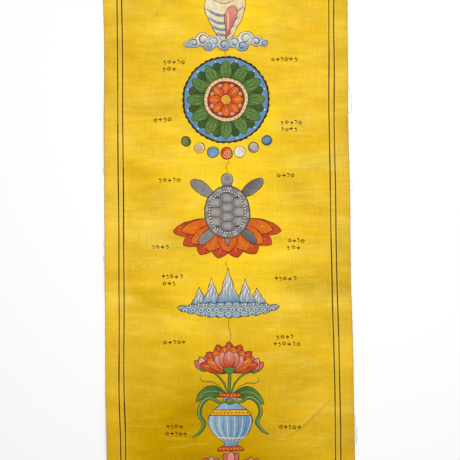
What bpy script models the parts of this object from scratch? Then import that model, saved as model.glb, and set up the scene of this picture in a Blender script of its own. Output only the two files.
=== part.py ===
"""A long painted scroll of cotton cloth, lying face up on a flat surface.

The scroll is one piece of cloth: a narrow strip with raw cut sides and plain cut ends. It lies flat, except for
a few soft creases and for edges and corners that lift a little. Metres, +Z up. X runs across the cloth and Y
along it, and the origin is the middle of the surface that it lies on.
"""

import math
from typing import NamedTuple

import bmesh
import bpy

# Driving dimensions
WIDTH = 0.300  # side to side, along the straightened sides
LENGTH = 1.000  # end to end
THICKNESS = 0.001  # cotton, its chalk ground and the paint
NODE = "painted_cloth"

# Finish of the painted side
OCHRE = (0.847, 0.533, 0.028, 1.0)
ROUGHNESS = 0.86


class Fold(NamedTuple):
    """A soft ridge that fades to nothing at its ends and sides."""

    x: float  # its middle
    y: float
    angle: float  # of its crest from +X, in degrees
    along: float  # half its length
    across: float  # half its width
    lift: float  # height of its crest


FOLDS = (
    # creases: one slants in from the right, two run from side to side
    Fold(x=0.104, y=-0.223, angle=46, along=0.062, across=0.014, lift=0.0022),
    Fold(x=0.000, y=-0.071, angle=0, along=0.260, across=0.010, lift=0.0010),
    Fold(x=-0.030, y=-0.267, angle=-2, along=0.200, across=0.012, lift=0.0012),
    # the sides lift in shallow waves
    Fold(x=0.150, y=0.215, angle=90, along=0.070, across=0.036, lift=0.0026),
    Fold(x=0.150, y=0.045, angle=90, along=0.055, across=0.030, lift=0.0018),
    Fold(x=0.150, y=-0.125, angle=90, along=0.065, across=0.040, lift=0.0030),
    Fold(x=0.150, y=-0.360, angle=90, along=0.070, across=0.040, lift=0.0034),
    Fold(x=-0.150, y=0.330, angle=90, along=0.070, across=0.036, lift=0.0028),
    Fold(x=-0.150, y=0.120, angle=90, along=0.060, across=0.032, lift=0.0020),
    Fold(x=-0.150, y=-0.045, angle=90, along=0.050, across=0.028, lift=0.0016),
    Fold(x=-0.150, y=-0.245, angle=90, along=0.070, across=0.040, lift=0.0032),
    # the corners keep some of the curl of the rolled scroll
    Fold(x=0.150, y=0.500, angle=-45, along=0.090, across=0.060, lift=0.0070),
    Fold(x=-0.150, y=0.500, angle=45, along=0.080, across=0.055, lift=0.0056),
    Fold(x=0.150, y=-0.500, angle=45, along=0.080, across=0.055, lift=0.0052),
    Fold(x=-0.150, y=-0.500, angle=-45, along=0.090, across=0.060, lift=0.0074),
    # low swells inside the strip
    Fold(x=-0.065, y=0.395, angle=20, along=0.085, across=0.050, lift=0.0012),
    Fold(x=0.060, y=0.315, angle=-10, along=0.080, across=0.045, lift=0.0010),
    Fold(x=-0.050, y=0.010, angle=12, along=0.080, across=0.040, lift=0.0008),
    Fold(x=0.055, y=-0.390, angle=15, along=0.085, across=0.050, lift=0.0012),
)


class Sway(NamedTuple):
    """How far each side strays to the right of a straight cut, at one place along the cloth."""

    y: float
    left: float
    right: float


SWAYS = (
    Sway(y=-0.500, left=0.0004, right=-0.0006),
    Sway(y=-0.400, left=-0.0006, right=0.0004),
    Sway(y=-0.258, left=0.0006, right=0.0010),
    Sway(y=-0.188, left=-0.0008, right=0.0008),
    Sway(y=-0.072, left=-0.0003, right=-0.0004),
    Sway(y=0.044, left=-0.0004, right=-0.0002),
    Sway(y=0.137, left=0.0001, right=-0.0007),
    Sway(y=0.230, left=0.0008, right=-0.0002),
    Sway(y=0.300, left=0.0002, right=0.0009),
    Sway(y=0.400, left=-0.0007, right=0.0003),
    Sway(y=0.500, left=0.0003, right=-0.0006),
)


class Zone(NamedTuple):
    """A stretch of the strip that is divided into equal cells."""

    start: float
    end: float
    cells: int


COLUMNS = (
    Zone(start=-0.150, end=0.054, cells=10),
    Zone(start=0.054, end=0.150, cells=12),
)
ROWS = (
    Zone(start=-0.500, end=-0.291, cells=11),
    Zone(start=-0.291, end=-0.171, cells=20),
    Zone(start=-0.171, end=-0.081, cells=5),
    Zone(start=-0.081, end=-0.061, cells=4),
    Zone(start=-0.061, end=0.500, cells=30),
)


def swell(share: float) -> float:
    """Height of a ridge at this share of the way from its crest to its foot."""
    return (1 - share * share) ** 2 if abs(share) < 1 else 0.0


def fold_height(fold: Fold, x: float, y: float) -> float:
    """Height that one fold adds at a point."""
    turn = math.radians(fold.angle)
    dx, dy = x - fold.x, y - fold.y
    forward = dx * math.cos(turn) + dy * math.sin(turn)
    sideways = dy * math.cos(turn) - dx * math.sin(turn)
    return fold.lift * swell(forward / fold.along) * swell(sideways / fold.across)


def underside(x: float, y: float) -> float:
    """Height of the cloth's underside over the surface that it lies on."""
    return sum(fold_height(fold, x, y) for fold in FOLDS)


def sway_at(y: float) -> tuple[float, float]:
    """How far the left and the right side stray to the right at y, on a smooth curve through SWAYS."""
    for low, high in zip(SWAYS, SWAYS[1:]):
        if y <= high.y:
            share = (y - low.y) / (high.y - low.y)
            share = share * share * (3 - 2 * share)
            return tuple(a + (b - a) * share for a, b in zip(low[1:], high[1:]))
    return SWAYS[-1].left, SWAYS[-1].right


def cloth_point(x: float, y: float) -> tuple[float, float, float]:
    """Where a point of the straight, flat strip lies on the real one."""
    left, right = sway_at(y)
    share = 0.5 + x / WIDTH
    swayed = x + left * (1 - share) + right * share
    return swayed, y, underside(x, y)


def lines(zones: tuple[Zone, ...]) -> list[float]:
    """The grid lines that divide the zones into their cells."""
    found = [zones[0].start]
    for zone in zones:
        step = (zone.end - zone.start) / zone.cells
        found += [zone.start + step * (i + 1) for i in range(zone.cells)]
    return found


def cloth_material() -> bpy.types.Material:
    """Matt yellow ochre paint on cotton."""
    material = bpy.data.materials.new("ochre_ground")
    material.use_nodes = True
    shader = material.node_tree.nodes["Principled BSDF"]
    shader.inputs["Base Color"].default_value = OCHRE
    shader.inputs["Roughness"].default_value = ROUGHNESS
    shader.inputs["Metallic"].default_value = 0.0
    return material


def underside_mesh() -> bpy.types.Mesh:
    """The cloth's underside as one sheet of cells, centred on the origin."""
    across, along = lines(COLUMNS), lines(ROWS)
    columns, rows = len(across) - 1, len(along) - 1
    shape = bmesh.new()
    bmesh.ops.create_grid(shape, x_segments=columns, y_segments=rows, size=0.5)
    for vert in shape.verts:
        column = round((vert.co.x + 0.5) * columns)
        row = round((vert.co.y + 0.5) * rows)
        vert.co = cloth_point(across[column], along[row])
    middle = (min(v.co.x for v in shape.verts) + max(v.co.x for v in shape.verts)) / 2
    bmesh.ops.translate(shape, verts=shape.verts, vec=(-middle, 0, 0))
    mesh = bpy.data.meshes.new(NODE)
    shape.to_mesh(mesh)
    shape.free()
    return mesh


def make_cloth() -> bpy.types.Object:
    """The strip of cloth, thickened upwards from its underside."""
    cloth = bpy.data.objects.new(NODE, underside_mesh())
    bpy.context.scene.collection.objects.link(cloth)
    cloth.data.materials.append(cloth_material())
    cloth.data.shade_smooth()
    solidify = cloth.modifiers.new("thickness", "SOLIDIFY")
    solidify.thickness = THICKNESS
    solidify.offset = 1.0
    return cloth


for leftover in list(bpy.data.objects):
    bpy.data.objects.remove(leftover)
make_cloth()
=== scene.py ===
"""A long painted scroll of cotton cloth, lying face up on a pale floor.

The cloth is one thin sheet on the folds of its solid. Its painting is laid out flat as outlines of
brushwork, in millimetres from the scroll's middle. The outlines are cut into the sheet's painted side,
so the paint lies in the cloth and follows its creases, and a colour attribute carries it. All other
sizes are in metres, with +Z up.
"""

from __future__ import annotations

import logging
import math
from collections.abc import Iterable, Sequence
from dataclasses import dataclass, field
from enum import Enum

import bpy
import numpy as np
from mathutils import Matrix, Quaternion, Vector
from mathutils.geometry import delaunay_2d_cdt

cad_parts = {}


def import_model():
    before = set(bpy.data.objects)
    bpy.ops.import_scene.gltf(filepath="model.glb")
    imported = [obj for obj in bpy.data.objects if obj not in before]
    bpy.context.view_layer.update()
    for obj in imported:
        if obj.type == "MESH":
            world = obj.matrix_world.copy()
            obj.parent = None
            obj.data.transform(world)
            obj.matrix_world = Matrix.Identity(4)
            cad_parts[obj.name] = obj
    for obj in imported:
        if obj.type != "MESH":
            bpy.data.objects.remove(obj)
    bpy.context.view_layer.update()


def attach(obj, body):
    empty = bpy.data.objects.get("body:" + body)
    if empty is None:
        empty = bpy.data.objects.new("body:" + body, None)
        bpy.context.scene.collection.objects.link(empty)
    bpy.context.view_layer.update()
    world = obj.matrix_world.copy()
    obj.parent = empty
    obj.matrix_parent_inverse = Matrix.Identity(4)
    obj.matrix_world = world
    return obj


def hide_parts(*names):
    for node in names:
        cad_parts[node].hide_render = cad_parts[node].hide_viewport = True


log = logging.getLogger("scroll")

MM = 0.001  # the painting's unit, in metres
STEP = 1.3  # millimetres between the points of a painted curve
LINE = 0.75  # millimetres, the usual width of a drawn line
FINE = 0.6  # millimetres, the width of a vein or another fine line

Array = np.ndarray
Point = tuple[float, float]
Path = Sequence[Point] | Array
Place = tuple[float, float, float]
Rows = tuple[tuple[float, ...], ...]
Colour = tuple[float, float, float, float]
Socket = bpy.types.NodeSocket
Sockets = bpy.types.bpy_prop_collection
Thread = tuple[int, tuple[Point, ...]]  # a side of the cloth, and places


# Pigments and how they are laid


def linear(*levels: int) -> list[float]:
    """The levels of an sRGB colour, from 0 to 255, as linear light."""
    shares = [level / 255 for level in levels]
    return [x / 12.92 if x <= 0.04045 else ((x + 0.055) / 1.055) ** 2.4 for x in shares]


class Pigment(Enum):
    """The painter's colours, as sRGB levels from 0 to 255."""

    INK = (48, 34, 28)
    STRAW = (254, 226, 108)
    # painted shade for the creases, not one of the painter's own colours
    CREASE_SHADE = (150, 104, 10)
    SEPIA = (62, 30, 0)
    BROWN = (96, 58, 34)
    CREAM = (236, 208, 158)
    IVORY = (243, 228, 190)
    WHITE = (240, 234, 218)
    GOLD = (228, 170, 52)
    ORANGE = (226, 112, 34)
    VERMILION = (204, 72, 42)
    CRIMSON = (170, 48, 40)
    PINK = (226, 146, 132)
    ROSE = (206, 104, 98)
    SKY = (96, 142, 180)
    PALE_BLUE = (150, 180, 198)
    INDIGO = (62, 98, 138)
    LEAF = (92, 132, 66)
    FOREST = (52, 88, 44)
    SAGE = (142, 166, 104)
    SLATE = (138, 134, 136)
    PALE_SLATE = (168, 164, 162)
    DARK_SLATE = (98, 94, 98)

    @property
    def linear(self) -> Array:
        """The colour as linear light."""
        return np.array(linear(*self.value))

    def at(self, points: Array) -> Array:
        """The colour at each point."""
        return np.tile(self.linear, (len(points), 1))


# The same by their short names
(INK, STRAW, CREASE_SHADE, SEPIA, BROWN, CREAM, IVORY, WHITE, GOLD, ORANGE, VERMILION, CRIMSON, PINK, ROSE, SKY,
 PALE_BLUE, INDIGO, LEAF, FOREST, SAGE, SLATE, PALE_SLATE, DARK_SLATE) = Pigment


@dataclass(frozen=True)
class Fade:
    """One pigment that runs into another from a start point to an end point."""

    first: Pigment
    last: Pigment
    start: Point
    end: Point

    def at(self, points: Array) -> Array:
        """The colour at each point.

        Args:
            points: The points.

        Returns:
            Their colours as linear light.
        """
        way = np.array(self.end) - self.start
        share = np.clip(((points - self.start) @ way) / (way @ way), 0, 1)[:, None]
        return self.first.linear * (1 - share) + self.last.linear * share


@dataclass(frozen=True)
class Glow:
    """One pigment in the part's middle that runs into another at a radius."""

    inner: Pigment
    outer: Pigment
    radius: float

    def at(self, points: Array) -> Array:
        """The colour at each point."""
        share = np.clip(np.linalg.norm(points, axis=1) / self.radius, 0, 1)[:, None]
        return self.inner.linear * (1 - share) + self.outer.linear * share


Paint = Pigment | Fade | Glow


# Outlines of brushwork: arrays of points, in millimetres on the flat cloth


def turned(points: Path, degrees: float, x: float = 0.0, y: float = 0.0) -> Array:
    """Turns points about the origin and then moves them.

    Args:
        points: The points.
        degrees: How far they turn, anticlockwise.
        x, y: How far they move to the right and up.

    Returns:
        The moved points.
    """
    a = math.radians(degrees)
    turn = np.array([[math.cos(a), math.sin(a)], [-math.sin(a), math.cos(a)]])
    return np.asarray(points, float) @ turn + (x, y)


def mirrored(points: Array) -> Array:
    """The points mirrored in the upright line through the origin."""
    return points * (-1, 1)


def reached(x: float, y: float, way: float, distance: float) -> Point:
    """The point at a distance from x and y, in a direction in degrees from +X."""
    a = math.radians(way)
    return (x + distance * math.cos(a), y + distance * math.sin(a))


def ring_of(count: int, radius: float, first: float = 90.0) -> list[Place]:
    """Places spread evenly round the origin: each one's x, its y and its direction in degrees."""
    ways = [first + 360 * i / count for i in range(count)]
    return [(*reached(0, 0, way, radius), way) for way in ways]


def round_of(count: int, rx: float, ry: float | None = None, first: float = 90.0) -> Array:
    """Points spread evenly round an oval about the origin, or round a circle where ry is left out."""
    unit = np.array([(x, y) for x, y, _ in ring_of(count, 1, first)])
    return unit * (rx, rx if ry is None else ry)


def fan(count: int, sweep: float, middle: float) -> list[float]:
    """Directions spread evenly over a sweep, in degrees, the outer ones first."""
    turns = [(i - (count - 1) / 2) * sweep / (count - 1) for i in range(count)]
    return [middle + turn for turn in sorted(turns, key=lambda turn: -abs(turn))]


def smooth(points: Path, closed: bool = False, step: float = STEP) -> Array:
    """A smooth curve through a few points.

    Args:
        points: The points that it passes.
        closed: Whether it returns to the first point.
        step: About how far apart the curve's points lie.

    Returns:
        The curve's points.
    """
    p = np.array(points, float)
    ends = (p[-1:], p[:2]) if closed else (2 * p[:1] - p[1:2], 2 * p[-1:] - p[-2:-1])
    p = np.vstack([ends[0], p, ends[1]])
    found = []
    for a, b, c, d in zip(p, p[1:], p[2:], p[3:]):
        count = max(1, round(float(np.linalg.norm(c - b)) / step))
        t = np.arange(count)[:, None] / count
        curve = 2 * b + (c - a) * t + (2 * a - 5 * b + 4 * c - d) * t**2 + (3 * b - a - 3 * c + d) * t**3
        found.append(0.5 * curve)
    if not closed:
        found.append(p[-2:-1])
    return np.vstack(found)


def oval(x: float, y: float, rx: float, ry: float | None = None, turn: float = 0.0) -> Array:
    """The outline of an oval.

    Args:
        x, y: Its middle.
        rx: Its reach to the right.
        ry: Its reach upwards, the same where it is left out.
        turn: How far it is turned then, in degrees.

    Returns:
        Its outline.
    """
    ry = rx if ry is None else ry
    count = max(8, round(math.pi * (rx + ry) / STEP))
    a = np.arange(count) * 2 * math.pi / count
    return turned(np.stack([rx * np.cos(a), ry * np.sin(a)], axis=1), turn, x, y)


def petal(
    x: float, y: float, length: float, width: float, turn: float, foot: float = 0.7, tip: float = 0.7
) -> Array:
    """A petal or leaf that grows from a point.

    Args:
        x, y: Where it grows from.
        length: From its foot to its tip.
        width: At its widest.
        turn: The way it points, in degrees from +X.
        foot: How fast it widens from its foot: under 1 is full and over 1 is slender.
        tip: How fast it closes at its tip, likewise.

    Returns:
        Its outline.
    """
    count = max(5, round(length / STEP))
    t = np.linspace(0, 1, count + 1)
    half = t**foot * (1 - t) ** tip
    half *= width / 2 / half.max()
    side = np.stack([t * length, half], axis=1)
    return turned(np.vstack([side, (side * (1, -1))[-2:0:-1]]), turn, x, y)


def ray(distances: Sequence[float], way: float, x: float = 0.0, y: float = 0.0) -> Array:
    """A straight path away from x and y, through the points at those distances."""
    return turned([(distance, 0) for distance in distances], way, x, y)


def scallops(corners: Path, bulge: float) -> Array:
    """A closed outline of arcs, one from each corner to the next, that bulge to the right of the way.

    Args:
        corners: The corners, anticlockwise for arcs that bulge outwards.
        bulge: How far each arc stands out, as a share of its chord.

    Returns:
        The outline.
    """
    found = []
    p = np.array(corners, float)
    for a, b in zip(p, np.roll(p, -1, axis=0)):
        way = b - a
        count = max(3, round(float(np.linalg.norm(way)) * (1 + bulge) / STEP))
        t = (np.arange(count) / count)[:, None]
        found.append(a + way * t + np.array([way[1], -way[0]]) * bulge * 4 * t * (1 - t))
    return np.vstack(found)


def spiral(x: float, y: float, start: float, end: float, turns: float, first: float) -> Array:
    """A curl that winds from one radius to another.

    Args:
        x, y: Its middle.
        start: The radius where it starts.
        end: The radius where it ends.
        turns: How often it winds round, clockwise where it is negative.
        first: The direction in which it starts, in degrees.

    Returns:
        Its points.
    """
    count = max(6, round(abs(turns) * math.pi * (start + end) / STEP))
    t = np.linspace(0, 1, count + 1)
    a = math.radians(first) + 2 * math.pi * turns * t
    r = start + (end - start) * t
    return np.stack([x + r * np.cos(a), y + r * np.sin(a)], axis=1)


def ribbon(path: Array, width: float, taper: float = 0.0, closed: bool = False) -> list[Array]:
    """The outlines of a brush line along a path.

    Args:
        path: The line's middle.
        width: Its greatest width.
        taper: How far its ends thin out, from 0, blunt, to 1, pointed.
        closed: Whether the path returns to its start.

    Returns:
        One outline, or the outer and the inner one of a closed line.
    """
    if closed:
        return [offset(path, width / 2), offset(path, -width / 2)[::-1]]
    way = np.gradient(path, axis=0)
    way /= np.maximum(np.linalg.norm(way, axis=1, keepdims=True), 1e-9)
    t = np.linspace(-1, 1, len(path))
    half = width / 2 * (1 - taper * np.abs(t) ** 3)
    side = np.stack([-way[:, 1], way[:, 0]], axis=1) * np.maximum(half, width * 0.06)[:, None]
    return [np.vstack([path + side, (path - side)[::-1]])]


def area(outline: Array) -> float:
    """The outline's area, positive where it runs anticlockwise."""
    x, y = outline.T
    return float(np.sum(x * np.roll(y, -1) - np.roll(x, -1) * y)) / 2


def offset(outline: Array, by: float | Array) -> Array:
    """Grows an outline.

    Args:
        outline: The outline.
        by: By how much, one number for all its points or one for each. A negative one shrinks it.

    Returns:
        The grown outline.
    """
    ahead = np.roll(outline, -1, axis=0) - outline
    normal = np.stack([ahead[:, 1], -ahead[:, 0]], axis=1)
    normal /= np.maximum(np.linalg.norm(normal, axis=1, keepdims=True), 1e-9)
    corner = normal + np.roll(normal, 1, axis=0)
    length = np.maximum(np.linalg.norm(corner, axis=1, keepdims=True), 0.9)
    way = math.copysign(1.0, area(outline))
    return outline + corner * (2 / length**2) * (way * np.broadcast_to(by, len(outline)))[:, None]


def hand(points: Array) -> Array:
    """Moves points slightly, alike for neighbours, as by a hand that isn't quite steady.

    Args:
        points: The points.

    Returns:
        The moved points.
    """
    x, y = points.T
    moved_x = 0.30 * np.sin(0.15 * x + 0.21 * y + 1.0) + 0.09 * np.sin(0.61 * y - 0.27 * x)
    moved_y = 0.30 * np.sin(0.19 * x - 0.13 * y + 2.2) + 0.09 * np.sin(0.53 * x + 0.38 * y)
    return points + np.stack([moved_x, moved_y], axis=1)


def pressure(points: Array) -> Array:
    """How hard the brush presses at each point, from about 0.6 to 1.4."""
    x, y = points.T
    return 1 + 0.25 * np.sin(0.37 * x + 0.23 * y) + 0.15 * np.sin(0.71 * y - 0.45 * x + 1.5)


def inside(points: Array, outlines: Iterable[Array]) -> Array:
    """Finds which points the outlines wind round.

    Args:
        points: The points.
        outlines: The outlines, which count together.

    Returns:
        True or false for each point.
    """
    winding = np.zeros(len(points), int)
    x, y = points[:, 0, None], points[:, 1, None]
    for outline in outlines:
        (ax, ay), (bx, by) = outline.T, np.roll(outline, -1, axis=0).T
        side = (bx - ax) * (y - ay) - (x - ax) * (by - ay)
        winding += ((ay <= y) & (by > y) & (side > 0)).sum(axis=1)
        winding -= ((ay > y) & (by <= y) & (side < 0)).sum(axis=1)
    return winding != 0


@dataclass
class Stroke:
    """One touch of paint: what it covers, its colours, and the shape that it stays within."""

    outlines: list[Array]
    paint: Paint
    within: Array | None = None
    strength: float = 1.0
    place: Point = (0.0, 0.0)  # of the part that it belongs to

    @property
    def box(self) -> tuple[Array, Array]:
        """Its lowest and highest corner."""
        points = np.vstack(self.outlines)
        return points.min(axis=0), points.max(axis=0)

    def covers(self, points: Array) -> Array:
        """Finds which points it covers.

        Args:
            points: The points.

        Returns:
            True or false for each point.
        """
        low, high = self.box
        found = ((points >= low) & (points <= high)).all(axis=1)
        shapes = [self.outlines] if self.within is None else [self.outlines, [self.within]]
        for outlines in shapes:
            near = np.flatnonzero(found)
            found[near] = inside(points[near], outlines)
        return found

    def colours(self, points: Array) -> Array:
        """Its colour at each point."""
        return self.paint.at(points - self.place)


@dataclass
class Brushwork:
    """A part of the painting, drawn about its own middle, and its strokes in the order of laying."""

    x: float = 0  # of its middle, in millimetres
    y: float = 0
    strokes: list[Stroke] = field(default_factory=list, init=False, repr=False)

    @property
    def place(self) -> Point:
        """Its middle on the cloth."""
        return (self.x, self.y)

    def paint(self) -> None:
        """Lays every stroke of the part."""
        raise NotImplementedError

    def shape(self, outline: Path, paint: Paint, edge: float = LINE, within: Path | None = None) -> None:
        """Fills an outline and draws its edge in ink.

        Args:
            outline: What is filled.
            paint: With what.
            edge: The edge's width, 0 for none.
            within: A shape that hides what reaches past it.
        """
        outline = np.asarray(outline, float) + self.place
        if edge:
            half = edge / 2 * pressure(outline)
            self._lay([offset(outline, half)], INK, within)
            outline = offset(outline, -half)
        self._lay([outline], paint, within)

    def line(
        self,
        path: Path,
        pigment: Pigment = INK,
        width: float = LINE,
        taper: float = 0.8,
        closed: bool = False,
        within: Path | None = None,
    ) -> None:
        """Draws a brush line of that greatest width, its ends thinned out by the taper, from 0 to 1."""
        path = np.asarray(path, float) + self.place
        self._lay(ribbon(path, width, taper, closed), pigment, within)

    def ruled(self, path: Path, pigment: Pigment, width: float, strength: float, taper: float = 0.0) -> None:
        """Draws a steady line that lets what is under it show through."""
        self.strokes.append(Stroke(ribbon(path, width, taper), pigment, None, strength))

    def dots(self, places: Iterable[Point], radius: float, pigment: Pigment) -> None:
        """Sets a round dot at each place."""
        for x, y in places:
            self._lay([oval(self.x + x, self.y + y, radius)], pigment, None)

    def _lay(self, outlines: list[Array], paint: Paint, within: Path | None) -> None:
        """Lays one touch of paint, by hand."""
        shape = None if within is None else hand(np.add(within, self.place))
        self.strokes.append(Stroke(list(map(hand, outlines)), paint, shape, place=self.place))


# The emblems


@dataclass
class LotusWheel(Brushwork):
    """A round panel of sky that holds a wheel of leaves and petals."""

    y: float = 160
    radius: float = 54
    leaves: int = 12
    petals: int = 8

    def paint(self) -> None:
        """Lays the panel, its leaves, its beaded ring and its flower."""
        r = self.radius
        self.shape(scallops(round_of(46, r - 0.9), 0.16), INK, 0)
        self.shape(oval(0, 0, r - 2.6), Glow(PALE_BLUE, SKY, r * 0.95), 0)
        self._leaves()
        self._ring(r * 0.50)
        self._flower(r * 0.42)

    def _leaves(self) -> None:
        """A back and a front circle of leaves."""
        r, between = self.radius, 90 + 180 / self.leaves
        for x, y, way in ring_of(self.leaves, r * 0.3, between):
            self.shape(petal(x, y, r * 0.58, r * 0.30, way, 0.6, 0.6), FOREST)
        for x, y, way in ring_of(self.leaves, r * 0.3):
            leaf = petal(x, y, r * 0.60, r * 0.31, way, 0.6, 0.7)
            self.shape(leaf, Fade(FOREST, LEAF, (x, y), reached(x, y, way, r * 0.6)))
            for lean in (-13, 0, 13):
                vein = ray((r * 0.2, r * 0.34, r * 0.5), way + lean, x, y)
                self.line(vein, SAGE, FINE, 1, within=leaf)
        self.dots(round_of(self.leaves, r * 0.9, first=between), 1, WHITE)

    def _ring(self, radius: float) -> None:
        """The beaded ring between the leaves and the flower."""
        self.shape(oval(0, 0, radius), CREAM)
        self.dots(round_of(30, radius - 1.9), 0.95, ROSE)

    def _flower(self, radius: float) -> None:
        """The flower with its seed head.

        Args:
            radius: How far it reaches.
        """
        self.shape(oval(0, 0, radius), CRIMSON)
        for x, y, way in ring_of(self.petals, radius * 0.2, 90 + 180 / self.petals):
            self.shape(petal(x, y, radius * 0.74, radius * 0.46, way, 0.7, 0.6), PINK)
        for x, y, way in ring_of(self.petals, radius * 0.2):
            shades = Fade(VERMILION, ORANGE, (x, y), reached(x, y, way, radius * 0.7))
            self.shape(petal(x, y, radius * 0.74, radius * 0.5, way), shades)
            self.line(ray((radius * 0.25, radius * 0.4, radius * 0.6), way, x, y), IVORY, FINE, 1)
        self.shape(oval(0, 0, radius * 0.28), GOLD)
        self.dots([(0, 0), *round_of(6, radius * 0.15)], 0.6, BROWN)


@dataclass
class Planets(Brushwork):
    """Small discs in a hanging arc, each with rings."""

    y: float = 94
    spread: float = 16.5
    sag: float = 1.7
    radius: float = 6.6
    colours: tuple[tuple[Pigment, Pigment], ...] = (
        (FOREST, SAGE), (CREAM, BROWN), (SKY, PALE_BLUE), (VERMILION, CREAM), (WHITE, GOLD),
        (SLATE, WHITE), (INDIGO, PALE_BLUE),
    )

    def paint(self) -> None:
        """Lays each disc with its rings and middle."""
        for i, (body, mark) in enumerate(self.colours):
            place = i - (len(self.colours) - 1) / 2
            x, y = place * self.spread, self.sag * place * place
            r = self.radius * (1.12 - 0.07 * abs(place))
            self.shape(oval(x, y, r), body)
            self.line(spiral(x, y, r * 0.72, r * 0.62, 0.8, 30 + 50 * i), mark, LINE, 0.9)
            self.line(oval(x, y, r * 0.36), mark, 0.7, closed=True)
            self.dots([(x, y)], 0.7, mark)


@dataclass
class Tortoise(Brushwork):
    """A grey tortoise seen from above, on a seat of flame-coloured petals."""

    y: float = 22
    half_width: float = 28
    half_length: float = 32
    rows: int = 4
    rim_plates: int = 24
    seat_slant: float = 0.74  # how flat the seat looks

    def paint(self) -> None:
        """Lays the seat, the limbs, the head and the shell."""
        self._seat()
        self._limbs()
        self._head()
        self._shell()

    def _seat(self) -> None:
        """A fan of petals under the shell, the front ones lighter."""
        middle = (0, -self.half_length * 0.35)
        for reach, width, count, root, tip in (
            (60, 27, 8, CRIMSON, VERMILION),
            (51, 24, 7, VERMILION, ORANGE),
        ):
            for way in fan(count, 150, -90):
                stretch = 1.0 + 0.14 * abs(math.cos(math.radians(way)))
                outline = petal(0, 0, reach * stretch, width, way, 1.1, 0.75) * (1, self.seat_slant) + middle
                self.shape(outline, Fade(root, tip, middle, reached(*middle, way, reach)))
                vein = turned([(reach * 0.6, 0), (reach * 0.78, 0.6), (reach * 0.93, 0)], way)
                self.line(vein * (stretch, self.seat_slant) + middle, GOLD, FINE, 1)

    def _limbs(self) -> None:
        """The four flippers with rows of short marks, and the tail."""
        w, h = self.half_width, self.half_length
        for x, y, length, width, way in (
            (w * 0.62, h * 0.62, 33, 14.5, 36),
            (w * 0.58, -h * 0.66, 25, 12, -42),
        ):
            flipper = petal(x, y, length, width, way, 0.5, 0.5)
            self.shape(flipper, Fade(DARK_SLATE, PALE_SLATE, (x, y), (w * 1.6, 0)))
            self.shape(mirrored(flipper), SLATE)
            for i in range(4):
                start = (length * (0.42 + 0.13 * i), -2.6 + 0.3 * i)
                end = (length * (0.46 + 0.13 * i), 2.4 - 0.3 * i)
                mark = turned([start, end], way, x, y)
                self.line(mark, INK, 0.65, 0.5)
                self.line(mirrored(mark), INK, 0.65, 0.5)
        self.shape(petal(0, -h * 0.9, 13, 6, -90, 0.5, 0.9), SLATE)

    def _head(self) -> None:
        """The head with its eyes, its creases and its scales."""
        h = self.half_length
        side = [(5, -4), (5.5, 4), (7.4, 9), (5.6, 15)]
        head = [*side, (0, 17.5), *[(-x, y) for x, y in side[::-1]]]
        shades = Fade(SLATE, PALE_SLATE, (0, h), (0, h + 16))
        self.shape(smooth(head, closed=True) + (0, h * 0.94), shades)
        for side in (-1, 1):
            self.shape(oval(side * 5.1, h + 8.6, 1, 1.5, side * 12), WHITE, 0.45)
            self.shape(oval(side * 5.2, h + 8.8, 0.55), INK, 0)
        for rise, reach in ((2.6, 4.2), (0.4, 4.4)):
            crease = [(-reach, h + rise), (0, h + rise - 1.2), (reach, h + rise)]
            self.line(smooth(crease), DARK_SLATE, 0.7, 1)
        scales = round_of(6, 2.3, 2.6) + (0, h + 9.4)
        self.dots([(0, h + 9.4), *scales], 0.95, DARK_SLATE)

    def _shell(self) -> None:
        """The rim plates, a line of white beads and the rows of large plates."""
        w, h = self.half_width, self.half_length
        self.shape(oval(0, 0, w, h), DARK_SLATE)
        for i in range(self.rim_plates):
            a, b = (math.radians(90 + 360 * (i + s) / self.rim_plates) for s in (0.06, 0.94))
            corners = [(a, 0.96), (b, 0.96), (b, 0.84), (a, 0.84)]
            plate = [(math.cos(t) * w * share, math.sin(t) * h * share) for t, share in corners]
            self.shape(plate, PALE_SLATE if i % 2 else SLATE, 0)
        self.dots(round_of(44, w * 0.79, h * 0.79), 0.85, WHITE)
        bed = oval(0, 0, w * 0.745, h * 0.745)
        self.shape(bed, INK, 0)
        self._plates(bed)

    def _plates(self, bed: Array) -> None:
        """The large plates: a row down the middle, and one on each side, half a plate lower.

        Args:
            bed: The shape that they stay within.
        """
        foot = -self.half_length * 0.72
        height = -2 * foot / self.rows
        inner, outer, reach = (self.half_width * share for share in (0.19, 0.32, 0.8))
        for i in range(self.rows):
            low = foot + i * height
            high, middle = low + height, low + height / 2
            half = np.array([(inner, low), (outer, middle), (inner, high)])
            self._plate(np.vstack([half, mirrored(half)[::-1]])[::-1], (0, middle), bed)
        for i in range(self.rows + 1):
            low = foot + (i - 0.5) * height
            high, middle = low + height, low + height / 2
            flare = 1.25 if i in (0, self.rows) else 1.0
            rim = [(reach, low * flare), (reach, high * flare)]
            plate = np.array([(outer, low), *rim, (outer, high), (inner, middle)])
            self._plate(plate, (reach * 0.66, middle), bed)
            self._plate(mirrored(plate)[::-1], (-reach * 0.66, middle), bed)

    def _plate(self, outline: Array, middle: Point, bed: Array) -> None:
        """One large plate with a lighter heart and a few short marks.

        Args:
            outline: Its edge.
            middle: The middle of its heart.
            bed: The shape that it stays within.
        """
        outline = offset(outline, -0.35)
        self.shape(outline, SLATE, 0, bed)
        self.shape((outline - middle) * 0.52 + middle, PALE_SLATE, 0, bed)
        for x, y in ((-1.7, 0.9), (1.5, 1.2), (0.1, -1.5)):
            mark = np.array([(x - 0.7, y - 0.2), (x + 0.7, y + 0.2)]) + middle
            self.line(mark, INK, 0.55, 0.3, within=bed)


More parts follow.
